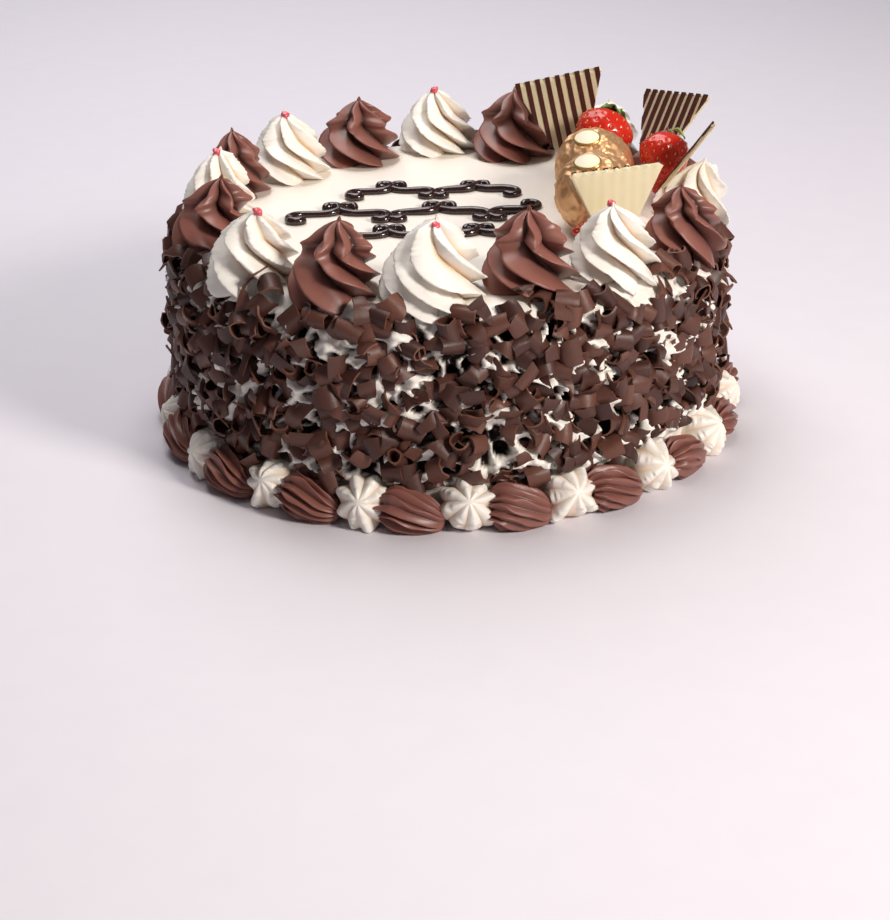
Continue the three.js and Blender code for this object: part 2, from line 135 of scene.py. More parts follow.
def new_material(name, roughness, **constants):
    """A material of one principled shader; returns it with its shader node."""
    material = bpy.data.materials.new(name)
    material.use_nodes = True
    shader = material.node_tree.nodes["Principled BSDF"]
    shader.inputs["Roughness"].default_value = roughness
    for key, value in constants.items():
        shader.inputs[key.replace("_", " ")].default_value = value
    return material, shader


def new_piece(name, points, faces, materials, smooth=True, body="root"):
    """An object from points (n, 3) in metres and a list of face arrays, each (m, corners)."""
    mesh = bpy.data.meshes.new(name)
    corners = np.concatenate([part.ravel() for part in faces])
    counts = np.concatenate([np.full(len(part), part.shape[1]) for part in faces])
    mesh.vertices.add(len(points))
    mesh.vertices.foreach_set("co", np.asarray(points, np.float32).ravel())
    mesh.loops.add(len(corners))
    mesh.loops.foreach_set("vertex_index", corners.astype(np.int32))
    mesh.polygons.add(len(counts))
    mesh.polygons.foreach_set("loop_start", (np.cumsum(counts) - counts).astype(np.int32))
    mesh.polygons.foreach_set("use_smooth", np.full(len(counts), smooth))
    mesh.update(calc_edges=True)
    mesh.validate()
    for material in materials:
        mesh.materials.append(material)
    piece = bpy.data.objects.new(name, mesh)
    bpy.context.collection.objects.link(piece)
    if body:
        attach(piece, body)
    return piece


sealed_paint, paint_shader = new_material("sealed_paint", 0.55)
paint_patches = add_node(sealed_paint, "ShaderNodeTexNoise", inputs={
    "Vector": add_node(sealed_paint, "ShaderNodeTexCoord").outputs["Object"],
    "Scale": FLOOR_GRAIN})
paint_colour = add_node(sealed_paint, "ShaderNodeMix", {"data_type": "RGBA"}, {
    0: paint_patches.outputs[0], 6: linear(FLOOR_COLOURS[0]), 7: linear(FLOOR_COLOURS[1])})
sealed_paint.node_tree.links.new(paint_colour.outputs[2], paint_shader.inputs["Base Color"])
half_floor = FLOOR_SIZE / 2
floor = new_piece("floor", np.array([[-half_floor, -half_floor, -0.0002],
                                     [half_floor, -half_floor, -0.0002],
                                     [half_floor, half_floor, -0.0002],
                                     [-half_floor, half_floor, -0.0002]]),
                  [np.array([[0, 1, 2, 3]])], [sealed_paint], smooth=False, body=None)

# ---------------------------------------------------------------- cream coat
# Whipped dairy cream spread over the sponge with a palette knife: level and satin on the top,
# squeezed up in soft glossy ridges on the side, where the curls were pressed into it.

CAKE_RADIUS = 0.1025
CAKE_HEIGHT = 0.080
RIM_ROUND = 0.006
CREAM_SIDE_BAND = (0.012, 0.077)     # where the curls were pressed in
CREAM_RIDGE = 0.0050                 # height of the cream squeezed up between them
KNIFE_MARK = 0.00022
COAT_COLUMNS = 600
CREAM_CREST = "#faf5ec"
# Painted shade of the cream: the colour its grooves and hollows are mixed towards, warmer and darker than its crests.
CREAM_PAINTED_SHADE = "#dfb27a"
CREAM_GRAIN = 900.0                  # fine air bubbles, per metre
CRUMB_AND_SHADE_BROWN = "#1f1210"              # fine shavings in the hollows of the side, with painted shade there, darker than the curls
CRUMB_LEVEL = (0.28, 0.38)           # heights of the relief between which cream takes over


def waves(points, size, seed, count=14):
    """Smooth noise from -1 to 1: a sum of plane waves about one size long, in random directions."""
    random = np.random.default_rng(seed)
    direction = random.normal(size=(count, 3))
    direction /= np.linalg.norm(direction, axis=1, keepdims=True)
    pitch = 2 * np.pi / (size * random.uniform(0.6, 1.6, count))
    phase = random.uniform(0, 2 * np.pi, count)
    total = np.sin(points @ (direction * pitch[:, None]).T + phase).sum(-1)
    return total / math.sqrt(count / 2) / 2


def grid_faces(rows, columns, closed=True, first=0):
    """Quads of a grid whose points are numbered row by row; closed joins its last column."""
    row = np.arange(rows - 1)[:, None] * columns + first
    here = np.arange(columns if closed else columns - 1)[None, :]
    there = (here + 1) % columns
    return np.stack([row + here, row + there, row + columns + there, row + columns + here],
                    -1).reshape(-1, 4)


def fan_faces(ring_start, columns, pole, up):
    """Triangles from a closed ring of points to its pole; up says on which side it lies."""
    here = np.arange(columns)
    there = (here + 1) % columns
    first, second = (here, there) if up else (there, here)
    return np.stack([ring_start + first, ring_start + second, np.full(columns, pole)], -1)


def set_attribute(piece, name, values):
    """A number for each point of the piece, which its material reads."""
    piece.data.attributes.new(name, "FLOAT", "POINT").data.foreach_set(
        "value", np.asarray(values, np.float32).ravel())


def lathe_profile():
    """Radius and height of the coat: up the side, round the rim, and in across the top."""
    side = np.linspace(0, CAKE_HEIGHT - RIM_ROUND, 120)
    bend = np.linspace(0, np.pi / 2, 12)[1:]
    inner = np.linspace(CAKE_RADIUS - RIM_ROUND, 0.0015, 30)[1:]
    radius = np.concatenate([np.full(len(side), CAKE_RADIUS),
                             CAKE_RADIUS - RIM_ROUND * (1 - np.cos(bend)), inner])
    height = np.concatenate([side, CAKE_HEIGHT - RIM_ROUND * (1 - np.sin(bend)),
                             np.full(len(inner), CAKE_HEIGHT)])
    return radius, height


coat_radius, coat_height = lathe_profile()
bearing = np.linspace(0, 2 * np.pi, COAT_COLUMNS, endpoint=False)
around = np.stack([np.sin(bearing), -np.cos(bearing), np.zeros(COAT_COLUMNS)], -1)
coat = coat_radius[:, None, None] * around[None]
coat[..., 2] = coat_height[:, None]
rise = np.clip((coat_height - CREAM_SIDE_BAND[0]) / 0.006, 0, 1)
fall = np.clip((CREAM_SIDE_BAND[1] - coat_height) / 0.004, 0, 1)
pressed = (rise * fall * (coat_radius > CAKE_RADIUS - RIM_ROUND))[:, None]
creases = 1 - np.abs(waves(coat, 0.009, 3)) * 1.6
lumps = waves(coat, 0.02, 4)
fine = waves(coat, 0.004, 6)
swelling = 0.9 * creases + 0.5 * lumps + 0.22 * fine
coat += (pressed * CREAM_RIDGE * swelling)[..., None] * around[None]
# Chocolate crumbs and painted shade: the low places of the side between the ridges are coloured near black.
crumbs_and_shade = pressed * np.clip((CRUMB_LEVEL[1] - swelling) / (CRUMB_LEVEL[1] - CRUMB_LEVEL[0]), 0, 1)
on_top = (coat_height > CAKE_HEIGHT - 1e-5)[:, None]
coat[..., 2] += on_top * KNIFE_MARK * waves(coat * [1, 0.35, 1], 0.03, 5)
coat_points = np.concatenate([coat.reshape(-1, 3), [[0, 0, 0], [0, 0, CAKE_HEIGHT]]])
coat_rows = len(coat_radius)
coat_faces = [grid_faces(coat_rows, COAT_COLUMNS),
              fan_faces(0, COAT_COLUMNS, coat_rows * COAT_COLUMNS, up=False),
              fan_faces((coat_rows - 1) * COAT_COLUMNS, COAT_COLUMNS,
                        coat_rows * COAT_COLUMNS + 1, up=True)]

# Whipped cream scatters light and is satin: bright on crests, and warmer and darker in the grooves, where the shade
# is painted.
whipped_cream, cream_shader = new_material(
    "whipped_cream", 0.34, Subsurface_Weight=0.15, Subsurface_Scale=0.003,
    Subsurface_Radius=(1.0, 0.85, 0.7), IOR=1.45)
cream_place = add_node(whipped_cream, "ShaderNodeTexCoord").outputs["Object"]
# Painted shade: the hollow attribute mixes the crest colour towards the shade colour.
cream_shade_share = add_node(whipped_cream, "ShaderNodeAttribute", {"attribute_name": "hollow"})
cream_colour = add_node(whipped_cream, "ShaderNodeMix", {"data_type": "RGBA"}, {
    0: cream_shade_share.outputs["Fac"], 6: linear(CREAM_CREST), 7: linear(CREAM_PAINTED_SHADE)})
cream_bubbles = add_node(whipped_cream, "ShaderNodeTexNoise", inputs={
    "Vector": cream_place, "Scale": CREAM_GRAIN, "Detail": 3.0})
cream_bump = add_node(whipped_cream, "ShaderNodeBump", inputs={
    "Height": cream_bubbles.outputs[0], "Strength": 0.12, "Distance": 0.0006})
# Near-black chocolate crumbs and painted shade in the low places of the side.
cream_crumb_shade_node = add_node(whipped_cream, "ShaderNodeAttribute", {"attribute_name": "crumbs_and_shade"})
coat_colour = add_node(whipped_cream, "ShaderNodeMix", {"data_type": "RGBA"}, {
    0: cream_crumb_shade_node.outputs["Fac"], 6: cream_colour.outputs[2], 7: linear(CRUMB_AND_SHADE_BROWN)})
whipped_cream.node_tree.links.new(coat_colour.outputs[2], cream_shader.inputs["Base Color"])
whipped_cream.node_tree.links.new(cream_bump.outputs[0], cream_shader.inputs["Normal"])

cream_coat = new_piece("cream_coat", coat_points, coat_faces, [whipped_cream])
set_attribute(cream_coat, "hollow", np.append(np.broadcast_to(
    np.where(on_top, 0.06, 0.02), (coat_rows, COAT_COLUMNS)).ravel(), [0, 0.06]))
set_attribute(cream_coat, "crumbs_and_shade", np.append(crumbs_and_shade.ravel(), [0, 0]))
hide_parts("cake")

# ---------------------------------------------------------------- chocolate curls
# Curls scraped from a block of dark chocolate with a warm knife, 0.7 mm thick, and pressed by
# the handful into the cream of the side and its rim: tight rolls, half rolls and broken shards.

CURL_WALL = 0.0007
CURL_BAND = (0.0135, 0.0815)         # up the side and on round the rim
CURL_PITCH = 0.0060                  # distance between neighbouring curls
CURL_STATIONS = 13                   # points along a curl's arc
CURL_UNEVEN = 0.00045
CURL_STAR_TOP = 0.0195               # below this height curls keep clear of the cream stars
CURL_STAR_GAP = 0.0085
CURL_FOOT_LEVEL = 0.0755             # above it they keep off the feet of the swirls
CURL_FOOT_GAP = 0.001
CHOCOLATE_FACE = "#42261f"
CHOCOLATE_PALE = "#694235"
CHOCOLATE_CUT = "#6f4738"
SCRAPE_LINES = 700.0                 # lines of the knife, per metre

# Each kind: share of all, radius, arc in degrees, length, taper to one end, tilt out in degrees.
CURL_KINDS = {
    "chocolate_rolls": (0.30, (0.0029, 0.0041), (270, 400), (0.0070, 0.0105), (0, 0.25), (0, 60)),
    "chocolate_half_rolls": (0.40, (0.0037, 0.0055), (130, 210), (0.0070, 0.0105), (0.1, 0.85),
                             (0, 35)),
    "chocolate_shards": (0.30, (0.0055, 0.0095), (50, 100), (0.0065, 0.0100), (0.4, 0.95),
                         (0, 40)),
}


def curl_mesh(centre, axis, front, radius, arc, length, taper, skew, spiral):
    """Curved strips: at each step of its arc a strip is a thin bar across, narrower by taper.

    A point is centre + rho * (cos a * front + sin a * side) + h * axis, where a runs through the
    arc, rho is the radius less the wall's depth and grows with a, and h spans the width."""
    count = len(radius)
    side = np.cross(axis, front)
    share = np.linspace(0, 1, CURL_STATIONS)[None, :, None]
    column = lambda values: values[:, None, None]
    angle = column(arc) * (share - 0.5)
    across = np.array([-1, 0, 1, 1, 0, -1])[None, None, :]
    depth = np.array([0, 0, 0, 1, 1, 1])[None, None, :] * CURL_WALL
    half = column(length) / 2 * (1 - column(taper) * share)
    bulge = 0.00025 * (across == 0)
    rho = column(radius) * (1 + column(spiral) * share) + bulge - depth
    offset = across * half + column(skew) * (share - 0.5)
    points = (centre[:, None, None] + offset[..., None] * axis[:, None, None]
              + (rho * np.cos(angle))[..., None] * front[:, None, None]
              + (rho * np.sin(angle))[..., None] * side[:, None, None])
    section = 6
    strip = grid_faces(CURL_STATIONS, section)
    last = (CURL_STATIONS - 1) * section
    ends = np.array([[0, 5, 4, 1], [1, 4, 3, 2],
                     [last, last + 1, last + 4, last + 5], [last + 1, last + 2, last + 3, last + 4]])
    faces = np.concatenate([strip, ends])
    start = np.arange(count)[:, None, None] * (CURL_STATIONS * section)
    rim = np.concatenate([np.tile(np.array([0, 0, 1, 0, 0, 1]), CURL_STATIONS - 1), np.ones(4)])
    return points.reshape(-1, 3), (faces[None] + start).reshape(-1, 4), np.tile(rim, count)


def unit(vectors):
    return vectors / np.linalg.norm(vectors, axis=-1, keepdims=True)


def bearing_of(node):
    """Angle of a node round the cake, from the front towards +X."""
    low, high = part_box(node)
    return math.atan2(low.x + high.x, -low.y - high.y)


curl_random = np.random.default_rng(11)
curl_rows = int((CURL_BAND[1] - CURL_BAND[0]) / (CURL_PITCH * 0.866))
per_row = int(2 * np.pi * CAKE_RADIUS / CURL_PITCH)
row, step = np.meshgrid(np.arange(curl_rows), np.arange(per_row), indexing="ij")
jitter = curl_random.normal(0, 0.24, (2, curl_rows, per_row))
curl_bearing = ((step + 0.5 * (row % 2) + jitter[0]) * 2 * np.pi / per_row).ravel()
curl_height = np.clip(CURL_BAND[0] + (row + 0.5 + jitter[1]) / curl_rows
                      * (CURL_BAND[1] - CURL_BAND[0]), *CURL_BAND).ravel()
star_bearings = np.array([bearing_of(f"border_star_{number}") for number in range(1, 18)])
from_star = np.abs((curl_bearing[:, None] - star_bearings + np.pi) % (2 * np.pi) - np.pi).min(1)
clear_of_stars = (curl_height > CURL_STAR_TOP) | (from_star * CAKE_RADIUS > CURL_STAR_GAP)
feet = np.array([[corner[:2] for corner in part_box(f"rosette_{kind}_{number}")]
                 for kind in ("cream", "chocolate") for number in range(1, 9)])
rim_place = (CAKE_RADIUS - RIM_ROUND / 2) * np.stack([np.sin(curl_bearing), -np.cos(curl_bearing)], -1)
from_foot = np.linalg.norm(rim_place[:, None] - feet.mean(1), axis=-1) - np.ptp(feet, axis=1).max(-1) / 2
clear_of_feet = (curl_height < CURL_FOOT_LEVEL) | (from_foot.min(1) > -CURL_FOOT_GAP)
kept = (curl_random.random(curl_bearing.size) > 0.10) & clear_of_stars & clear_of_feet
curl_bearing, curl_height = curl_bearing[kept], curl_height[kept]
curl_total = curl_bearing.size
kind_draw = curl_random.random(curl_total)
bend = np.clip(curl_height - (CAKE_HEIGHT - RIM_ROUND), 0, None) / RIM_ROUND
radial = np.stack([np.sin(curl_bearing), -np.cos(curl_bearing), np.zeros(curl_total)], -1)
along = np.stack([np.cos(curl_bearing), np.sin(curl_bearing), np.zeros(curl_total)], -1)
outward = radial * np.cos(bend)[:, None] + np.array([0, 0, 1]) * np.sin(bend)[:, None]
upward = np.cross(outward, along) * -1
bed = radial * (CAKE_RADIUS - RIM_ROUND * (1 - np.cos(bend)))[:, None]
bed[:, 2] = np.minimum(curl_height, CAKE_HEIGHT - RIM_ROUND) + RIM_ROUND * np.sin(bend)

# Tempered dark chocolate: satin where the block was cut, paler and duller on broken edges.
dark_chocolate, curl_shader = new_material("shaved_dark_chocolate", 0.46, IOR=1.46)
curl_place = add_node(dark_chocolate, "ShaderNodeTexCoord").outputs["Object"]
curl_rim = add_node(dark_chocolate, "ShaderNodeAttribute", {"attribute_name": "cut_edge"})
curl_tone = add_node(dark_chocolate, "ShaderNodeAttribute", {"attribute_name": "tone"})
curl_lines = add_node(dark_chocolate, "ShaderNodeTexNoise", inputs={
    "Vector": curl_place, "Scale": SCRAPE_LINES, "Detail": 2.0})
curl_face = add_node(dark_chocolate, "ShaderNodeMix", {"data_type": "RGBA"}, {
    0: curl_tone.outputs["Fac"], 6: linear(CHOCOLATE_FACE), 7: linear(CHOCOLATE_PALE)})
curl_colour = add_node(dark_chocolate, "ShaderNodeMix", {"data_type": "RGBA"}, {
    0: curl_rim.outputs["Fac"], 6: curl_face.outputs[2], 7: linear(CHOCOLATE_CUT)})
curl_bump = add_node(dark_chocolate, "ShaderNodeBump", inputs={
    "Height": curl_lines.outputs[0], "Strength": 0.25, "Distance": 0.0004})
dark_chocolate.node_tree.links.new(curl_colour.outputs[2], curl_shader.inputs["Base Color"])
dark_chocolate.node_tree.links.new(curl_bump.outputs[0], curl_shader.inputs["Normal"])

share_start = 0.0
for name, (share, radii, arcs, lengths, tapers, tilts) in CURL_KINDS.items():
    chosen = (kind_draw >= share_start) & (kind_draw < share_start + share)
    share_start += share
    count = int(chosen.sum())
    draw = curl_random.random((9, count))
    radius = radii[0] + (radii[1] - radii[0]) * draw[0]
    arc = np.radians(arcs[0] + (arcs[1] - arcs[0]) * draw[1])
    length = lengths[0] + (lengths[1] - lengths[0]) * draw[2]
    taper = tapers[0] + (tapers[1] - tapers[0]) * draw[3]
    tilt = np.radians(tilts[0] + (tilts[1] - tilts[0]) * draw[4]) * np.sign(draw[5] - 0.5)
    slant = draw[6] * 2 * np.pi
    flat = (along[chosen] * np.cos(slant)[:, None] + upward[chosen] * np.sin(slant)[:, None])
    axis = unit(flat * np.cos(tilt)[:, None] + outward[chosen] * np.sin(tilt)[:, None])
    face = unit(outward[chosen] - axis * (outward[chosen] * axis).sum(-1, keepdims=True))
    roll = (draw[7] - 0.5) * np.radians(150)
    front = face * np.cos(roll)[:, None] + np.cross(axis, face) * np.sin(roll)[:, None]
    # The middle of its convex face stands proud of the cream by a few millimetres.
    proud = 0.0022 + 0.0040 * draw[8]
    centre = bed[chosen] + outward[chosen] * (proud - radius * np.cos(roll) * 0.8)[:, None]
    points, faces, rim = curl_mesh(
        centre, axis, front, radius, arc, length, taper,
        skew=0.002 * (draw[5] - 0.5), spiral=0.12 * draw[3])
    points += CURL_UNEVEN * np.stack([waves(points, 0.005, seed) for seed in (12, 13, 14)], -1)
    curls = new_piece(name, points, [faces], [dark_chocolate])
    curls.data.attributes.new("cut_edge", "FLOAT", "FACE").data.foreach_set(
        "value", rim.astype(np.float32))
    set_attribute(curls, "tone", np.repeat(curl_random.random(count) ** 1.5,
                                           len(points) // count))
    curls.data.set_sharp_from_angle(angle=math.radians(42))
    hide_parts("cake")

# ---------------------------------------------------------------- swirls round the top
# Sixteen swirls, by turns whipped cream and chocolate buttercream, piped with an open star tip
# while the bag is turned and lifted: pointed crests wind down a fat dome from a thin peak.

SWIRL_SHOULDER = 0.62                # share of the height where the last turn begins
SWIRL_ROWS = 84
CREST_COLUMNS = 24                   # columns from one crest to the next
# Buttercream on its crests, and the painted shade that darkens its folds.
BUTTERCREAM_CREST = "#8e5c51"
BUTTERCREAM_PAINTED_SHADE = "#331b19"

# Each kind: number of crests, depth of the groove between them as a share of the radius,
# softness of a crest, how far it leans over the groove on its left, its torn edge in metres,
# degrees of turn for each millimetre of height, below and above the shoulder, and the
# shoulder's ledge as a share of the radius.
SWIRL_KINDS = {
    "cream": (7, 0.38, 0.14, 0.10, 0.00020, 6.4, 4.0, 0.02),
    "chocolate": (6, 0.42, 0.04, 0.04, 0.00006, 7.0, 1.5, 0.09),
}


def stance(node):
    """Middle of its foot, radius and tip of a CAD solid, read from its corners."""
    corners = np.array([corner.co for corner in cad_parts[node].data.vertices])
    low, high = corners[:, 2].min(), corners[:, 2].max()
    foot = corners[corners[:, 2] < low + 0.35 * (high - low)]
    middle = (foot.min(0) + foot.max(0)) / 2
    radius = (foot.max(0) - foot.min(0))[:2].max() / 2
    return np.array([middle[0], middle[1], CAKE_HEIGHT]), radius, corners[corners[:, 2].argmax()]


def uneven(count, size, random):
    """A row of random numbers about 0, made smooth over a number of places."""
    kernel = np.hanning(2 * size + 1)
    values = np.convolve(random.normal(size=count + 4 * size), kernel / math.sqrt((kernel ** 2).sum()),
                         mode="same")
    return values[2 * size:2 * size + count]


def flank_of(place, softness):
    """0 at each whole place, a crest, rising in a nearly straight flank to 1 in the groove."""
    apart = 2 * np.abs(place - np.round(place))
    return ((np.sqrt(apart ** 2 + softness ** 2) - softness)
            / (math.sqrt(1 + softness ** 2) - softness)) ** 0.9


def swirl(foot, radius, tip, crests, groove, softness, lean, torn, winding, cap_winding, ledge, seed):
    """Points of a swirl and the share of painted shade in its grooves: at a share u of its height
    its radius is that of a dome, (1 - (u / 0.95)^2.6)^0.7, or that of the peak drawn out of it, 0.3 (1 - u)^0.55.

    Columns follow the crests, which wind faster below the shoulder than above it. From a crest
    to a groove the radius falls in a straight flank, and crests droop and lean."""
    random = np.random.default_rng(seed)
    u = np.sin(np.linspace(0, np.pi / 2, SWIRL_ROWS + 1)[:-1])[:, None]
    place = np.arange(crests * CREST_COLUMNS)[None] / CREST_COLUMNS
    number = np.round(place[0]).astype(int) % crests
    valley = flank_of(place, softness)
    crest = 1 - valley
    height = tip[2] - foot[2]
    strength = 1 + 0.14 * random.normal(size=crests)[number][None]
    sway = 0.10 * np.stack([uneven(SWIRL_ROWS, 20, random) for _ in range(crests)], -1)
    edge = torn * np.stack([uneven(SWIRL_ROWS, 1, random) for _ in range(crests)], -1)
    depth = np.clip(groove * strength * (0.9 + 0.5 * u), 0, 0.75)
    dome = np.clip(1 - (u / 0.95) ** 2.6, 0, 1) ** 0.7
    dome += ledge * (np.exp(-((u - SWIRL_SHOULDER - 0.05) / 0.045) ** 2)
                     - np.exp(-((u - SWIRL_SHOULDER + 0.07) / 0.06) ** 2))
    body = radius * np.maximum(dome, 0.3 * (1 - u) ** 0.55) * (1 - 0.16 * np.exp(-u / 0.06))
    lobe = 0.05 + 0.10 * np.exp(-u / 0.12)
    distance = body * (1 - depth * valley + lobe * crest ** 2)
    distance += edge[:, number] * crest ** 4 * np.minimum(1, 5 * (1 - u))
    start = random.uniform(0, 2 * np.pi / crests)
    wound = (winding * np.minimum(u, SWIRL_SHOULDER)
             + cap_winding * np.maximum(u - SWIRL_SHOULDER, 0)) * np.radians(height * 1000)
    kink = 3 * ledge * np.exp(-((u - 0.76) / 0.10) ** 2)
    angle = ((place - lean * crest ** 1.5) * 2 * np.pi / crests + start - wound + kink
             + sway[:, number] * crest)
    flicked = random.permutation(crests)[number] < 2
    flick = 5 * torn * flicked * crest ** 4 * np.exp(-((u - 0.84) / 0.05) ** 2)
    z = foot[2] + height * u + flick - 0.0012 * crest ** 2 * np.sin(np.pi * u)
    middle = foot[:2] + (tip[:2] - foot[:2]) * u[..., None] ** 2
    points = np.stack([middle[..., 0] + distance * np.cos(angle),
                       middle[..., 1] + distance * np.sin(angle), z], -1)
    # Where the foot reaches past the rim it hangs down over it.
    reach = np.linalg.norm(points[..., :2], axis=-1) - (CAKE_RADIUS - RIM_ROUND)
    hang = np.clip(reach, 0, 0.9 * RIM_ROUND)
    fall = RIM_ROUND - np.sqrt(RIM_ROUND ** 2 - hang ** 2) + 0.4 * np.clip(reach - 0.9 * RIM_ROUND, 0, 1)
    points[..., 2] -= fall * (1 - u) ** 3
    points[..., 2] = np.maximum(points[..., 2], CAKE_HEIGHT - RIM_ROUND)
    # The second value is the share of painted shade, deepest in the bottoms of the grooves.
    return points, valley ** 3 * np.sin(np.pi * np.clip(0.15 + 0.85 * u, 0, 1)) ** 0.5


# Chocolate buttercream: satin and close, its colour darkened from the crests into the folds as painted shade.
buttercream, butter_shader = new_material(
    "chocolate_buttercream", 0.36, Subsurface_Weight=0.06, Subsurface_Scale=0.002, IOR=1.46)
butter_place = add_node(buttercream, "ShaderNodeTexCoord").outputs["Object"]
butter_shade_share = add_node(buttercream, "ShaderNodeAttribute", {"attribute_name": "hollow"})
butter_colour = add_node(buttercream, "ShaderNodeMix", {"data_type": "RGBA"}, {
    0: butter_shade_share.outputs["Fac"], 6: linear(BUTTERCREAM_CREST), 7: linear(BUTTERCREAM_PAINTED_SHADE)})
butter_grain = add_node(buttercream, "ShaderNodeTexNoise", inputs={
    "Vector": butter_place, "Scale": 700.0, "Detail": 3.0})
butter_bump = add_node(buttercream, "ShaderNodeBump", inputs={
    "Height": butter_grain.outputs[0], "Strength": 0.10, "Distance": 0.0005})
buttercream.node_tree.links.new(butter_colour.outputs[2], butter_shader.inputs["Base Color"])
buttercream.node_tree.links.new(butter_bump.outputs[0], butter_shader.inputs["Normal"])

# Each kind: its cream, its material slot, and how narrow the painted shade of the hollows is.
SWIRL_FINISH = {"cream": (whipped_cream, "cream", 1.8),
                "chocolate": (buttercream, "chocolate_cream", 0.65)}
for kind, shape in SWIRL_KINDS.items():
    columns = shape[0] * CREST_COLUMNS
    ring = SWIRL_ROWS * columns
    for number in range(1, 9):
        node = f"rosette_{kind}_{number}"
        foot, radius, tip = stance(node)
        points, depth = swirl(foot, radius, tip, *shape, seed=100 + number + 50 * (kind == "cream"))
        faces = [grid_faces(SWIRL_ROWS, columns), fan_faces(0, columns, ring, up=False),
                 fan_faces(ring - columns, columns, ring + 1, up=True)]
        points = np.concatenate([points.reshape(-1, 3), [foot, tip]])
        material, slot, narrow = SWIRL_FINISH[kind]
        piece = new_piece(f"{kind}_swirl_{number}", points, faces, [material])
        # The hollow attribute carries the painted shade of the grooves.
        set_attribute(piece, "hollow", np.append(depth.ravel() ** narrow, [0.5, 0]))
        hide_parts(node)

# ---------------------------------------------------------------- border round the foot
# By turns a star of whipped cream, pressed out straight at the cake and drawn off to a point,
# and a shell of chocolate buttercream, squeezed out thick and pulled along until it thins.

STAR_CRESTS = 8
STAR_TILT = math.radians(28)         # how far a star looks up
STAR_MIDDLE = (0.108, 0.0084)        # its distance from the axis of the cake, and its height
STAR_SIZE = (0.0107, 0.0102)         # half its width and height
STAR_ROOT = 0.006                    # its straight part, back into the side
STAR_RISE = 0.0064
STAR_PEAK = 0.0024
STAR_ROWS, STAR_COLUMNS = 30, 160
SHELL_CRESTS = 13                    # all the way round, half of them in sight
SHELL_LENGTH = 0.0212
SHELL_SIZE = (0.0080, 0.0088)        # half its depth and height
SHELL_MIDDLE = 0.0080                # height of its middle line
SHELL_ROWS, SHELL_COLUMNS = 52, 180


def settled(points):
    """Points kept outside the wall of the cream and above the table."""
    out = np.linalg.norm(points[..., :2], axis=-1, keepdims=True)
    points[..., :2] *= np.maximum(1, (CAKE_RADIUS - 0.001) / out)
    points[..., 2] = np.maximum(points[..., 2], 0)
    return points


def around_cake(radius, angle, height):
    """Points at a distance from the cake's axis, an angle from its front, and a height."""
    return np.stack(np.broadcast_arrays(radius * np.sin(angle), -radius * np.cos(angle), height), -1)


def star(angle, seed):
    """A short straight star section and then a dome over it, drawn out to a small point."""
    random = np.random.default_rng(seed)
    root = np.linspace(-STAR_ROOT, 0, 7)[:-1]
    dome = np.linspace(0, np.pi / 2, STAR_ROWS - len(root) + 1)[:-1]
    size = np.concatenate([0.9 + 0.1 * (root / STAR_ROOT + 1), np.cos(dome) ** 0.5])[:, None]
    ahead = np.concatenate([root, STAR_RISE * np.sin(dome) + STAR_PEAK * (1 - np.cos(dome)) ** 3])[:, None]
    place = np.arange(STAR_COLUMNS)[None] * STAR_CRESTS / STAR_COLUMNS
    number = np.round(place[0]).astype(int) % STAR_CRESTS
    valley = flank_of(place, 0.25) ** 1.2
    crest = 1 - valley
    length = 1 + 0.09 * random.normal(size=STAR_CRESTS)[number]
    bend = 0.12 * random.normal(size=STAR_CRESTS)[number] + 0.15 * random.normal()
    ruffle = 0.0004 * np.stack([uneven(STAR_ROWS, 2, random) for _ in range(STAR_CRESTS)], -1)
    reach = size * (length * crest + valley * 0.83)
    twisted = place * 2 * np.pi / STAR_CRESTS + bend * size + random.uniform(0, 2 * np.pi / STAR_CRESTS)
    swell = 1 + 0.04 * random.normal()
    outwards = around_cake(1.0, angle, 0.0)
    sideways = around_cake(1.0, angle + np.pi / 2, 0.0)
    up = np.array([0, 0, 1.0])
    tilt = STAR_TILT + 0.12 * random.normal()
    axis = outwards * math.cos(tilt) + up * math.sin(tilt)
    above = up * math.cos(tilt) - outwards * math.sin(tilt)
    middle = around_cake(STAR_MIDDLE[0], angle, STAR_MIDDLE[1])
    wide = swell * STAR_SIZE[0] * reach + ruffle[:, number] * crest ** 2
    high = swell * STAR_SIZE[1] * reach + ruffle[:, number] * crest ** 2
    points = (middle + (ahead - 0.0016 * valley * size)[..., None] * axis
              + (wide * np.cos(twisted))[..., None] * sideways
              + (high * np.sin(twisted))[..., None] * above)
    peak = middle + axis * (STAR_RISE + STAR_PEAK)
    # The last value is painted shade for the grooves between the crests, fading towards the point.
    return settled(points), middle - axis * STAR_ROOT, peak, valley ** 2 * size * np.ones_like(place)


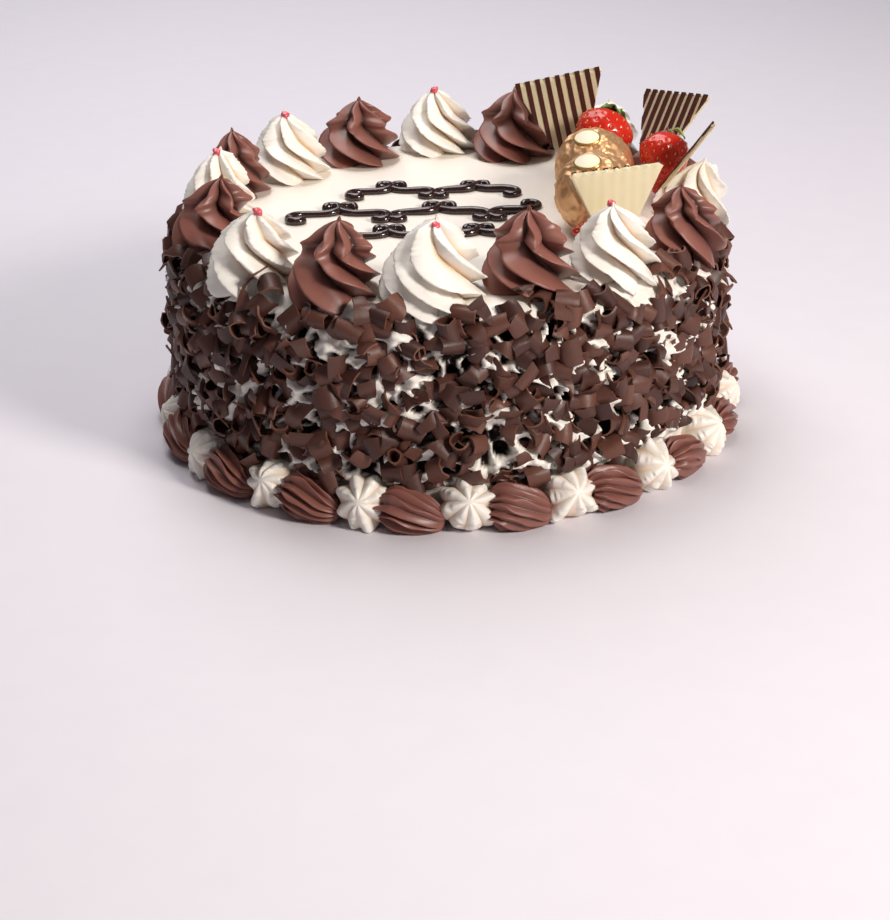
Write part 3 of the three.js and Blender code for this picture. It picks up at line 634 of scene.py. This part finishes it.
def shell(angle, seed):
    """A shell pulled to the right: at a share s of its length its size is
    (1 - exp(-(s + 0.06) / 0.07)) (1 - 0.32 s^2) sqrt(1 - s^9), and its crests start as the teeth of a comb
    and sweep down to the front as they close up."""
    random = np.random.default_rng(seed)
    s = np.linspace(0, 0.995, SHELL_ROWS)[:, None] ** 1.2
    size = (1 - np.exp(-(s + 0.06) / 0.07)) * (1 - 0.32 * s ** 2) * np.sqrt(1 - s ** 9) * (1 + 0.04 * random.normal())
    place = np.arange(SHELL_COLUMNS)[None] * SHELL_CRESTS / SHELL_COLUMNS
    number = np.round(place[0]).astype(int) % SHELL_CRESTS
    valley = flank_of(place, 0.12)
    strength = 1 + 0.25 * random.normal(size=SHELL_CRESTS)[number]
    sway = 0.10 * np.stack([uneven(SHELL_ROWS, 14, random) for _ in range(SHELL_CRESTS)], -1)
    reach = size * (1.04 - 0.28 * strength * valley)
    winding = math.radians(random.uniform(25, 60))
    around = place * 2 * np.pi / SHELL_CRESTS - winding * s + sway[:, number] * (1 - valley)
    middle = CAKE_RADIUS + SHELL_SIZE[0] - 0.0006
    comb = (0.0024 + 0.0012 * random.normal(size=SHELL_CRESTS)[number]) * (1 - valley) * np.exp(-s / 0.05)
    along_cake = angle + ((s - 0.48) * SHELL_LENGTH - comb) / middle
    height = SHELL_MIDDLE - 0.0034 * s ** 1.5
    points = around_cake(middle + SHELL_SIZE[0] * reach * np.cos(around), along_cake,
                         height + SHELL_SIZE[1] * reach * np.sin(around))
    first = around_cake(middle, float(along_cake[0].max()), float(height[0, 0]))
    last = around_cake(middle, float(along_cake[-1].max()), float(height[-1, 0]))
    # The last value is painted shade for the grooves between the crests.
    return settled(points), first, last, 0.45 * valley * np.ones_like(s)


def closed_piece(name, points, first, last, material, hollow):
    """A piece from a grid of rings with a pole at each end."""
    rows, columns = points.shape[:2]
    ring = rows * columns
    faces = [grid_faces(rows, columns), fan_faces(0, columns, ring, up=False),
             fan_faces(ring - columns, columns, ring + 1, up=True)]
    piece = new_piece(name, np.concatenate([points.reshape(-1, 3), [first, last]]), faces, [material])
    set_attribute(piece, "hollow", np.append(hollow.ravel(), [0, 0]))
    return piece


for number in range(1, 18):
    node = f"border_star_{number}"
    points, first, last, hollow = star(bearing_of(node), seed=300 + number)
    # Painted shade in the grooves of the cream star.
    piece = closed_piece(f"cream_star_{number}", points, first, last, whipped_cream, 0.6 * hollow)
    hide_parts(node)
    node = f"border_shell_{number}"
    points, first, last, hollow = shell(bearing_of(node), seed=400 + number)
    # Painted shade in the grooves of the buttercream shell.
    piece = closed_piece(f"chocolate_shell_{number}", points, first, last, buttercream, hollow)
    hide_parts(node)

# ---------------------------------------------------------------- piped scrolls on the top
# Piping chocolate let run from a paper bag with a 3 mm hole: a glossy, nearly black line that
# swells where the hand slows, in a row of large S scrolls between two rows of small ones.

PIPING_RADIUS = 0.0017
PIPING_HEIGHT = 0.0027
SCROLL_TURN = 1.85
SCROLL_REACH = 0.78                  # reach of a scroll of unit scale
SCROLL_STEPS = 64
PIPING_SIDES = 12
PIPING_BLACK = "#241616"
SCROLL_ROWS = [                      # y, first x, spacing, number, half-length
    (0.030, -0.030, 0.0170, 4, 0.0084),
    (0.003, -0.051, 0.0195, 5, 0.0097),
    (-0.024, -0.030, 0.0170, 4, 0.0084),
]


def scroll(x, y, reach, hand):
    """A Cornu spiral: its heading is half pi times the square of the length from its middle."""
    step = 2 * SCROLL_TURN / SCROLL_STEPS
    heading = np.pi / 2 * ((np.arange(SCROLL_STEPS // 2) + 0.5) * step) ** 2
    half = np.cumsum(np.stack([np.cos(heading), np.sin(heading)], -1) * step, axis=0)
    path = np.concatenate([-half[::-1], [[0, 0]], half]) * [1, hand] * reach / SCROLL_REACH
    return path + [x, y]


def piped_line(path, seed):
    """A half-sunk round ridge along a path on the top, swelling a little as it goes."""
    heading = np.gradient(path, axis=0)
    across = np.stack([heading[:, 1], -heading[:, 0]], -1)
    across /= np.linalg.norm(across, axis=1, keepdims=True)
    share = np.linspace(0, 1, len(path))
    ends = np.minimum(1, np.sqrt(np.sin(np.pi * np.clip(share, 0.004, 0.996)) * 5))
    swell = ends * (1 + 0.10 * np.sin(share * 9 + seed) + 0.14 * np.exp(-((share - 0.97) / 0.03) ** 2))
    turn = np.linspace(0, 2 * np.pi, PIPING_SIDES, endpoint=False)
    flat = PIPING_RADIUS * swell[:, None] * np.cos(turn)
    height = CAKE_HEIGHT + PIPING_HEIGHT * swell[:, None] * (0.38 + 0.62 * np.sin(turn))
    points = np.empty((len(path), PIPING_SIDES, 3))
    points[..., :2] = path[:, None] + across[:, None] * flat[..., None]
    points[..., 2] = height
    return points


piping_chocolate, piping_shader = new_material("piping_chocolate", 0.16, IOR=1.48, Coat_Weight=0.3)
piping_streaks = add_node(piping_chocolate, "ShaderNodeTexNoise", inputs={
    "Vector": add_node(piping_chocolate, "ShaderNodeTexCoord").outputs["Object"], "Scale": 260.0})
piping_colour = add_node(piping_chocolate, "ShaderNodeMix", {"data_type": "RGBA"}, {
    0: piping_streaks.outputs[0], 6: linear(PIPING_BLACK), 7: linear("#35211f")})
piping_bump = add_node(piping_chocolate, "ShaderNodeBump", inputs={
    "Height": piping_streaks.outputs[0], "Strength": 0.2, "Distance": 0.0006})
piping_chocolate.node_tree.links.new(piping_colour.outputs[2], piping_shader.inputs["Base Color"])
piping_chocolate.node_tree.links.new(piping_bump.outputs[0], piping_shader.inputs["Normal"])

line_points, line_faces = [], []
for y, x, spacing, count, reach in SCROLL_ROWS:
    for i in range(count):
        line = piped_line(scroll(x + i * spacing, y, reach, -1 if i % 2 else 1), seed=i + 10 * y)
        first = sum(len(part) for part in line_points)
        ring = SCROLL_STEPS * PIPING_SIDES
        middles = [line[0].mean(0), line[-1].mean(0)]
        line_points.append(np.concatenate([line.reshape(-1, 3), middles]))
        pole = first + ring + PIPING_SIDES
        line_faces.append((grid_faces(SCROLL_STEPS + 1, PIPING_SIDES, first=first),
                           fan_faces(first, PIPING_SIDES, pole, up=False),
                           fan_faces(first + ring, PIPING_SIDES, pole + 1, up=True)))
scrolls = new_piece("piped_scrolls", np.concatenate(line_points),
                    [np.concatenate([part[0] for part in line_faces]),
                     np.concatenate([part[1] for part in line_faces]),
                     np.concatenate([part[2] for part in line_faces])], [piping_chocolate])
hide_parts("cake")

# ---------------------------------------------------------------- striped chocolate plates
# Triangles of white chocolate cast 1.5 mm thick on a sheet printed with lines of dark
# chocolate, which stand 0.4 mm proud and end in small knobs on the broken top edge.

PLATE_WIDTH = 0.037
PLATE_POINT = 0.006
PLATE_THICKNESS = 0.0015
PLATE_STRIPES = 9
STRIPE_RISE = 0.0004
STRIPE_OVER = 0.0008                 # how far a line ends above the top edge
WHITE_CHOCOLATE = "#ded2b0"
WHITE_SHADED = "#d3c7a2"
STRIPE_BROWN = "#3f1d19"
# Each plate: middle of its lower end and of its top edge in mm, the way its lines face, and
# the share of dark chocolate across it.
PLATES = {
    "striped_plate_left": ((54.5, 53.5, 81.5), (46.9, 58, 118.8), (-0.1, -1, 0.1), 0.48),
    "striped_plate_right": ((80.8, 36, 83.3), (95.2, 52, 112.2), (-0.68, -0.44, 0.58), 0.62),
    "cream_plate_front": ((61.9, -48, 81.5), (61.9, -48, 112.5), (-0.33, 0.94, 0), 0.48),
    "cream_plate_side": ((83.4, -4, 90.9), (103.1, 0, 114.5), (-0.76, 0.27, 0.59), 0.48),
}

# White chocolate, satin, with painted shade in bands between the dark lines, patchy where the noise breaks it.
white_chocolate, white_shader = new_material(
    "cast_white_chocolate", 0.34, IOR=1.46, Subsurface_Weight=0.15, Subsurface_Scale=0.002)
white_patches = add_node(white_chocolate, "ShaderNodeTexNoise", inputs={
    "Vector": add_node(white_chocolate, "ShaderNodeTexCoord").outputs["Object"], "Scale": 180.0})
white_shade_bands = add_node(white_chocolate, "ShaderNodeAttribute", {"attribute_name": "hollow"})
white_share = add_node(white_chocolate, "ShaderNodeMath", {"operation": "MULTIPLY"}, {
    0: white_patches.outputs[0], 1: white_shade_bands.outputs["Fac"]})
white_colour = add_node(white_chocolate, "ShaderNodeMix", {"data_type": "RGBA"}, {
    0: white_share.outputs[0], 6: linear(WHITE_CHOCOLATE), 7: linear(WHITE_SHADED)})
white_bump = add_node(white_chocolate, "ShaderNodeBump", inputs={
    "Height": white_patches.outputs[0], "Strength": 0.15, "Distance": 0.0005})
white_chocolate.node_tree.links.new(white_colour.outputs[2], white_shader.inputs["Base Color"])
white_chocolate.node_tree.links.new(white_bump.outputs[0], white_shader.inputs["Normal"])
stripe_chocolate, stripe_shader = new_material("printed_dark_chocolate", 0.30, IOR=1.46)
stripe_patches = add_node(stripe_chocolate, "ShaderNodeTexNoise", inputs={
    "Vector": add_node(stripe_chocolate, "ShaderNodeTexCoord").outputs["Object"], "Scale": 400.0})
stripe_colour = add_node(stripe_chocolate, "ShaderNodeMix", {"data_type": "RGBA"}, {
    0: stripe_patches.outputs[0], 6: linear(STRIPE_BROWN), 7: linear("#54291f")})
stripe_chocolate.node_tree.links.new(stripe_colour.outputs[2], stripe_shader.inputs["Base Color"])


def bar(rows, section):
    """Faces of a closed bar: a stack of sections with a fan over each end."""
    ring = rows * section
    return (grid_faces(rows, section), fan_faces(0, section, ring, up=False),
            fan_faces(ring - section, section, ring + 1, up=True))


def closed_stack(stack):
    """Points of a stack of sections with the middle of each end added."""
    return np.concatenate([stack.reshape(-1, 3), [stack[0].mean(0), stack[-1].mean(0)]])


for node, (foot, head, lines, dark_share) in PLATES.items():
    foot, head = np.array(foot) / 1000, np.array(head) / 1000
    height = np.linalg.norm(head - foot)
    up = (head - foot) / height
    out = unit(np.array(lines) - up * (np.array(lines) @ up))
    across = np.cross(out, up)
    half_width = lambda share: (PLATE_POINT + (PLATE_WIDTH - PLATE_POINT) * share) / 2
    at = lambda u, v, w: foot + u[..., None] * across + v[..., None] * out + w[..., None] * up
    # The white body: rounded edges all round, its top edge broken into shallow scallops.
    share = np.concatenate([[0], np.linspace(0.01, 0.985, 30), [1]])[:, None]
    columns = np.linspace(-1, 1, 73)
    u = np.concatenate([columns, columns[::-1]])[None]
    face = np.concatenate([np.ones(73), -np.ones(73)])[None]
    thin = np.clip((1 - np.abs(u)) / 0.03, 0.2, 1) ** 0.5
    thin = thin * np.where((share == 0) | (share == 1), 0.55, 1)
    wide = u * half_width(share)
    scallop = 0.0006 * np.cos(wide / PLATE_WIDTH * 2 * np.pi * PLATE_STRIPES) * share ** 30
    body = at(wide, face * thin * PLATE_THICKNESS / 2 - STRIPE_RISE / 2, height * share + scallop)
    body_faces = bar(len(share), body.shape[1])
    # Painted shade: bands between the lines, where the white is mixed towards its shaded colour.
    painted_shade_band = 0.5 - 0.5 * np.cos(wide / PLATE_WIDTH * 2 * np.pi * PLATE_STRIPES)
    points, faces = [closed_stack(body)], [[part] for part in body_faces]
    materials = [[0] * len(part) for part in body_faces]
    # The dark lines: low rounded bars side by side, cut off by the plate's slanting edges.
    pitch = PLATE_WIDTH / PLATE_STRIPES
    for i in range(PLATE_STRIPES):
        section = np.array([[-1, -0.3], [-1, 0.5], [-0.8, 1], [0.8, 1], [1, 0.5], [1, -0.3]])
        middle = (i - (PLATE_STRIPES - 1) / 2) * pitch
        wide = middle + section[:, 0] * pitch * dark_share / 2
        lowest = np.clip((2 * np.abs(wide) - PLATE_POINT) / (PLATE_WIDTH - PLATE_POINT), 0, 0.97)
        step = np.linspace(0, 1, 12)[:, None]
        along_bar = (lowest + (1 - lowest) * step) * height + STRIPE_OVER * (step == 1)
        rise = PLATE_THICKNESS / 2 - STRIPE_RISE / 2 + STRIPE_RISE * section[:, 1]
        line = at(np.broadcast_to(wide, along_bar.shape), np.broadcast_to(rise, along_bar.shape),
                  along_bar)
        first = sum(len(part) for part in points)
        for kind, part in enumerate(bar(len(step), len(section))):
            faces[kind].append(part + first)
            materials[kind] += [1] * len(part)
        points.append(closed_stack(line))
    plate = new_piece(node.replace("plate", "triangle"), np.concatenate(points),
                      [np.concatenate(part) for part in faces], [white_chocolate, stripe_chocolate])
    plate.data.polygons.foreach_set("material_index", np.concatenate(materials).astype(np.int32))
    shade = np.zeros(len(plate.data.vertices))
    shade[:painted_shade_band.size] = (painted_shade_band * np.ones_like(share)).ravel()
    set_attribute(plate, "hollow", shade)
    plate.data.set_sharp_from_angle(angle=math.radians(40))
    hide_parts(node)

# ---------------------------------------------------------------- foil-wrapped pralines
# Hazelnut pralines twisted into thin copper-gold foil, which creases into small flat facets
# on top and long folds down the side; a bare oval paper seal is stuck on each.

PRALINE_RADIUS = 0.0154
FOIL_FACETS = 170
# Foil gold, and the lighter gold of its painted glints.
FOIL_GOLD = "#d99f6c"
FOIL_GLINT = "#f2c999"
SEAL_SIZE = (0.0060, 0.0045)         # half its length and width
SEAL_PAPER = "#efe9cf"
SEAL_RIM = "#d9b24a"
PRALINES = {"praline_back": (-0.23, -0.36, 0.90), "praline_front": (-0.23, -0.34, 0.91)}

# The foil's colour is mixed in noise patches towards the glint colour: painted glints.
gold_foil, foil_shader = new_material("creased_gold_foil", 0.42, Metallic=0.72)
foil_place = add_node(gold_foil, "ShaderNodeTexCoord").outputs["Object"]
foil_glints = add_node(gold_foil, "ShaderNodeTexNoise", inputs={"Vector": foil_place, "Scale": 150.0})
foil_colour = add_node(gold_foil, "ShaderNodeMix", {"data_type": "RGBA"}, {
    0: foil_glints.outputs[0], 6: linear(FOIL_GOLD), 7: linear(FOIL_GLINT)})
foil_creases = add_node(gold_foil, "ShaderNodeTexVoronoi", {"feature": "DISTANCE_TO_EDGE"}, {
    "Vector": foil_place, "Scale": 420.0})
foil_bump = add_node(gold_foil, "ShaderNodeBump", inputs={
    "Height": foil_creases.outputs["Distance"], "Strength": 0.35, "Distance": 0.0006})
gold_foil.node_tree.links.new(foil_colour.outputs[2], foil_shader.inputs["Base Color"])
gold_foil.node_tree.links.new(foil_bump.outputs[0], foil_shader.inputs["Normal"])
seal_paper, seal_shader = new_material("seal_paper", 0.45)
seal_fibre = add_node(seal_paper, "ShaderNodeTexNoise", inputs={
    "Vector": add_node(seal_paper, "ShaderNodeTexCoord").outputs["Object"], "Scale": 1500.0})
seal_colour = add_node(seal_paper, "ShaderNodeMix", {"data_type": "RGBA"}, {
    0: seal_fibre.outputs[0], 6: linear(SEAL_PAPER), 7: linear("#e2dcbc")})
seal_paper.node_tree.links.new(seal_colour.outputs[2], seal_shader.inputs["Base Color"])
# The gilt edge: gold with lighter specks from the noise, painted glints.
seal_gilt, gilt_shader = new_material("seal_gilt", 0.3, Metallic=0.8)
gilt_glints = add_node(seal_gilt, "ShaderNodeTexNoise", inputs={
    "Vector": add_node(seal_gilt, "ShaderNodeTexCoord").outputs["Object"], "Scale": 900.0})
gilt_colour = add_node(seal_gilt, "ShaderNodeMix", {"data_type": "RGBA"}, {
    0: gilt_glints.outputs[0], 6: linear(SEAL_RIM), 7: linear("#f0d681")})
seal_gilt.node_tree.links.new(gilt_colour.outputs[2], gilt_shader.inputs["Base Color"])

for order, (node, seal_way) in enumerate(PRALINES.items()):
    low, high = (np.array(corner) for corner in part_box(node))
    middle = np.array([(low[0] + high[0]) / 2, (low[1] + high[1]) / 2, high[2] - PRALINE_RADIUS])
    foil_random = np.random.default_rng(60 + order)
    latitude = np.linspace(-np.pi / 2, np.pi / 2, 112)[1:-1][:, None]
    turn = np.linspace(0, 2 * np.pi, 220, endpoint=False)[None]
    way = np.stack([np.cos(latitude) * np.cos(turn), np.cos(latitude) * np.sin(turn),
                    np.sin(latitude) * np.ones_like(turn)], -1)
    # Flat facets: the radius is the nearest of many planes that cut the ball at random.
    planes = unit(foil_random.normal(size=(FOIL_FACETS, 3)))
    distance = 1 - 0.035 * foil_random.random(FOIL_FACETS)
    toward = way @ planes.T
    facets = np.where(toward > 0.5, distance / np.maximum(toward, 0.5), 9).min(-1)
    facets = np.minimum(facets, 1.03)
    pleats = 1 - np.abs(np.sin(turn * 7 + 2.5 * np.sin(2 * turn + order) + 1.5 * latitude))
    folds = 0.045 * pleats * np.clip(0.9 - np.sin(latitude), 0, 1.2)
    wrinkle = 0.018 * (1 - np.abs(waves(way, 0.35, 20 + order)) * 2)
    seal = unit(np.array(seal_way))
    smooth = 1 - np.exp(-((1 - way @ seal) / 0.07) ** 2)
    surface = PRALINE_RADIUS * (0.975 + (facets - 0.975 - 0.02 + folds + wrinkle) * smooth)
    ball = middle + way * surface[..., None]
    ball[..., 2] = np.maximum(ball[..., 2], CAKE_HEIGHT - 0.0003)
    poles = [middle - [0, 0, middle[2] - CAKE_HEIGHT + 0.0003], middle + [0, 0, surface[-1].mean()]]
    praline = closed_piece(f"foil_{node}", ball, *poles, gold_foil, np.zeros(ball.shape[:2]))
    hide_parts(node)
    # The seal: an oval of paper that follows the ball, with a gilt edge.
    side = unit(np.cross([0, 0, 1.0], seal))
    top = np.cross(seal, side)
    rho = np.array([0, 0.3, 0.6, 0.78, 0.86, 1, 1.01, 0.9])[:, None]
    lift = np.array([0.0006] * 6 + [0.0003, 0.0001])[:, None]
    lift[:, 0] += [0, 0, 0, 0.00003, 0.00006, 0, 0, 0]
    ring = np.linspace(0, 2 * np.pi, 48, endpoint=False)[None]
    flat = (SEAL_SIZE[0] * rho * np.cos(ring))[..., None] * side \
        + (SEAL_SIZE[1] * rho * np.sin(ring))[..., None] * top
    oval = unit(seal * PRALINE_RADIUS + flat) * (PRALINE_RADIUS * 0.975 + lift)[..., None] + middle
    oval = oval[::-1]
    oval_faces = [grid_faces(8, 48), fan_faces(0, 48, 384, up=False), fan_faces(336, 48, 385, up=True)]
    sticker = new_piece(f"paper_seal_{node[8:]}", np.concatenate(
        [oval.reshape(-1, 3), [oval[0].mean(0), oval[-1].mean(0)]]), oval_faces, [seal_paper, seal_gilt])
    gilt = np.zeros(len(sticker.data.polygons), np.int32)
    gilt[48:48 * 3] = 1
    sticker.data.polygons.foreach_set("material_index", gilt)

# ---------------------------------------------------------------- strawberries
# Whole fresh strawberries, glossy and set with small yellow seeds, each in its own dimple, and
# with the green leaves still on where the stalk end shows.

BERRY_SEEDS = 120
BERRY_RED = "#dc3520"
BERRY_DEEP = "#b91d1b"
SEED_YELLOW = "#e6a55a"
LEAF_GREEN = "#3f6b2c"
LEAF_PALE = "#9cbf6a"
# Each berry: middle of its stalk end, its point and its radius in mm, number of leaves and the
# turn of the first one round the stalk.
BERRIES = {
    "strawberry_back": ((68.5, 46, 107), (58.5, 34, 87), 12.4, 5, 0.5),
    "strawberry_right": ((88.5, 19.5, 106), (83.5, 14.5, 82), 10.2, 1, 5.7),
    "strawberry_front": ((72, -38, 87.5), (46.5, -41, 86.8), 6.2, 0, 0),
}

berry_skin, berry_shader = new_material(
    "strawberry_skin", 0.24, IOR=1.4, Subsurface_Weight=0.2, Subsurface_Scale=0.003,
    Subsurface_Radius=(1.0, 0.25, 0.15), Coat_Weight=0.4)
berry_patches = add_node(berry_skin, "ShaderNodeTexNoise", inputs={
    "Vector": add_node(berry_skin, "ShaderNodeTexCoord").outputs["Object"], "Scale": 120.0})
berry_colour = add_node(berry_skin, "ShaderNodeMix", {"data_type": "RGBA"}, {
    0: berry_patches.outputs[0], 6: linear(BERRY_RED), 7: linear(BERRY_DEEP)})
berry_skin.node_tree.links.new(berry_colour.outputs[2], berry_shader.inputs["Base Color"])
seed_husk, seed_shader = new_material("strawberry_seed", 0.4)
seed_patches = add_node(seed_husk, "ShaderNodeTexNoise", inputs={
    "Vector": add_node(seed_husk, "ShaderNodeTexCoord").outputs["Object"], "Scale": 800.0})
seed_colour = add_node(seed_husk, "ShaderNodeMix", {"data_type": "RGBA"}, {
    0: seed_patches.outputs[0], 6: linear(SEED_YELLOW), 7: linear("#c98a3c")})
seed_husk.node_tree.links.new(seed_colour.outputs[2], seed_shader.inputs["Base Color"])
berry_leaf, leaf_shader = new_material("strawberry_leaf", 0.5, Subsurface_Weight=0.1)
leaf_along = add_node(berry_leaf, "ShaderNodeAttribute", {"attribute_name": "hollow"})
leaf_colour = add_node(berry_leaf, "ShaderNodeMix", {"data_type": "RGBA"}, {
    0: leaf_along.outputs["Fac"], 6: linear(LEAF_GREEN), 7: linear(LEAF_PALE)})
berry_leaf.node_tree.links.new(leaf_colour.outputs[2], leaf_shader.inputs["Base Color"])

for order, (node, (top, point, size, leaves, first_turn)) in enumerate(BERRIES.items()):
    top, point, size = np.array(top) / 1000, np.array(point) / 1000, size / 1000
    axis = point - top
    length = np.linalg.norm(axis)
    axis /= length
    side = unit(np.cross([0, 0, 1.0], axis))
    other = np.cross(axis, side)
    share = np.linspace(0, 1, 74)[1:-1][:, None]
    turn = np.linspace(0, 2 * np.pi, 120, endpoint=False)[None]
    # A berry's radius: sin of its share of the length, drawn towards the stalk.
    girth = lambda s: np.sin(np.pi * s ** 0.72) ** 0.62 * (1 - 0.16 * s)
    radial = np.cos(turn)[..., None] * side + np.sin(turn)[..., None] * other
    skin = top + (length * share)[..., None] * axis + (size * girth(share))[..., None] * radial
    # Seeds sit on a spiral of golden angles; the skin swells round each.
    seed_share = 0.08 + 0.86 * (np.arange(BERRY_SEEDS) + 0.5) / BERRY_SEEDS
    seed_turn = np.arange(BERRY_SEEDS) * 2.39996
    seed_radial = np.cos(seed_turn)[:, None] * side + np.sin(seed_turn)[:, None] * other
    seed_at = top + (length * seed_share)[:, None] * axis \
        + (size * girth(seed_share))[:, None] * seed_radial
    apart = np.linalg.norm(skin[:, :, None] - seed_at, axis=-1).min(-1)
    dimple = np.exp(-(apart / 0.0008) ** 2)
    skin -= (0.0005 * dimple)[..., None] * radial
    skin += (0.0004 * waves(skin, 0.012, 30 + order))[..., None] * radial
    berry = closed_piece(f"fresh_{node}", skin, top, point, berry_skin, np.zeros(skin.shape[:2]))
    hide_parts(node)
    # One seed is a small pointed ellipsoid lying along the berry.
    up = np.linspace(-0.9, 0.9, 5)[:, None]
    ring = np.linspace(0, 2 * np.pi, 6, endpoint=False)[None]
    width = np.sqrt(1 - up ** 2)
    form = np.stack([up * np.ones_like(ring) * 0.00060, width * np.cos(ring) * 0.00032,
                     width * np.sin(ring) * 0.0003], -1).reshape(-1, 3)
    seed_across = np.cross(axis, seed_radial)
    frame_of = np.stack([np.broadcast_to(axis, seed_radial.shape), seed_across, seed_radial], 1)
    seeds = (seed_at - 0.0002 * seed_radial)[:, None] + np.einsum("pk,nkc->npc", form, frame_of)
    one = np.concatenate([grid_faces(5, 6), [[5, 4, 1, 0], [4, 3, 2, 1], [24, 25, 28, 29],
                                             [25, 26, 27, 28]]])
    many = (one[None] + np.arange(BERRY_SEEDS)[:, None, None] * 30).reshape(-1, 4)
    seed_piece = new_piece(f"seeds_of_{node}", seeds.reshape(-1, 3), [many], [seed_husk])
    # Leaves: pointed blades that arch away from the stalk and curl up at their tips.
    for leaf in range(leaves):
        leaf_turn = first_turn + leaf * 2 * np.pi / 5
        away = math.cos(leaf_turn) * side + math.sin(leaf_turn) * other
        wide = np.cross(-axis, away)
        s = np.linspace(0, 1, 16)[:, None]
        t = np.linspace(-1, 1, 9)[None]
        blade = (0.0019 * np.sin(np.pi * np.clip(0.16 + 0.84 * s, 0, 1)) ** 0.8 * t)
        lift = 0.0014 * np.sin(np.pi * s) - 0.0018 * s ** 2 + 0.0005 * t ** 2 \
            + 0.0004 * np.sin(9 * s + 3 * t + leaf)
        sheet = top + (0.0066 * s)[..., None] * away + blade[..., None] * wide \
            - (lift + 0.0004)[..., None] * axis
        blade_piece = new_piece(f"leaf_{leaf + 1}_of_{node}", sheet.reshape(-1, 3),
                                [grid_faces(16, 9, closed=False)], [berry_leaf])
        set_attribute(blade_piece, "hollow", np.clip(1.2 - 3 * np.abs(t), 0, 1) * np.ones_like(s)
                      + 0.5 * (node == "strawberry_right"))
        thickness = blade_piece.modifiers.new("thickness", "SOLIDIFY")
        thickness.thickness = 0.0004
        thickness.offset = 0

# ---------------------------------------------------------------- red flakes
# A chip of freeze-dried raspberry pressed into the tip of most of the cream swirls.

FLAKE_RED = "#d4324a"
FLAKE_SIZE = 0.0016
FLAKES = {                           # swirl, and the place in mm from its tip
    1: (0.3, -1.6, -1.2), 2: (-0.6, -3.4, -3.4), 3: (-0.5, 2.0, -1.5),
    6: (-0.4, -1.3, -1.3), 7: (0.2, -1.4, -1.8), 8: (-1.4, -1.6, -2.0),
}
dried_berry, flake_shader = new_material("dried_raspberry", 0.3, Coat_Weight=0.3)
flake_patches = add_node(dried_berry, "ShaderNodeTexNoise", inputs={
    "Vector": add_node(dried_berry, "ShaderNodeTexCoord").outputs["Object"], "Scale": 700.0})
flake_colour = add_node(dried_berry, "ShaderNodeMix", {"data_type": "RGBA"}, {
    0: flake_patches.outputs[0], 6: linear(FLAKE_RED), 7: linear("#ef7a86")})
dried_berry.node_tree.links.new(flake_colour.outputs[2], flake_shader.inputs["Base Color"])
flake_points, flake_faces = [], []
for number, offset in FLAKES.items():
    tip = stance(f"rosette_cream_{number}")[2]
    flake_random = np.random.default_rng(70 + number)
    up = np.linspace(-0.95, 0.95, 7)[:, None]
    ring = np.linspace(0, 2 * np.pi, 10, endpoint=False)[None]
    way = np.stack([np.sqrt(1 - up ** 2) * np.cos(ring), np.sqrt(1 - up ** 2) * np.sin(ring),
                    up * np.ones_like(ring)], -1)
    first = 72 * len(flake_points)
    flake_points.append(closed_stack(way * FLAKE_SIZE * (1 + 0.4 * waves(way, 1.2, number))[..., None]
                                     + tip + np.array(offset) / 1000))
    flake_faces.append([part + first for part in bar(7, 10)])
flakes = new_piece("raspberry_flakes", np.concatenate(flake_points),
                   [np.concatenate([part[kind] for part in flake_faces]) for kind in range(3)],
                   [dried_berry])
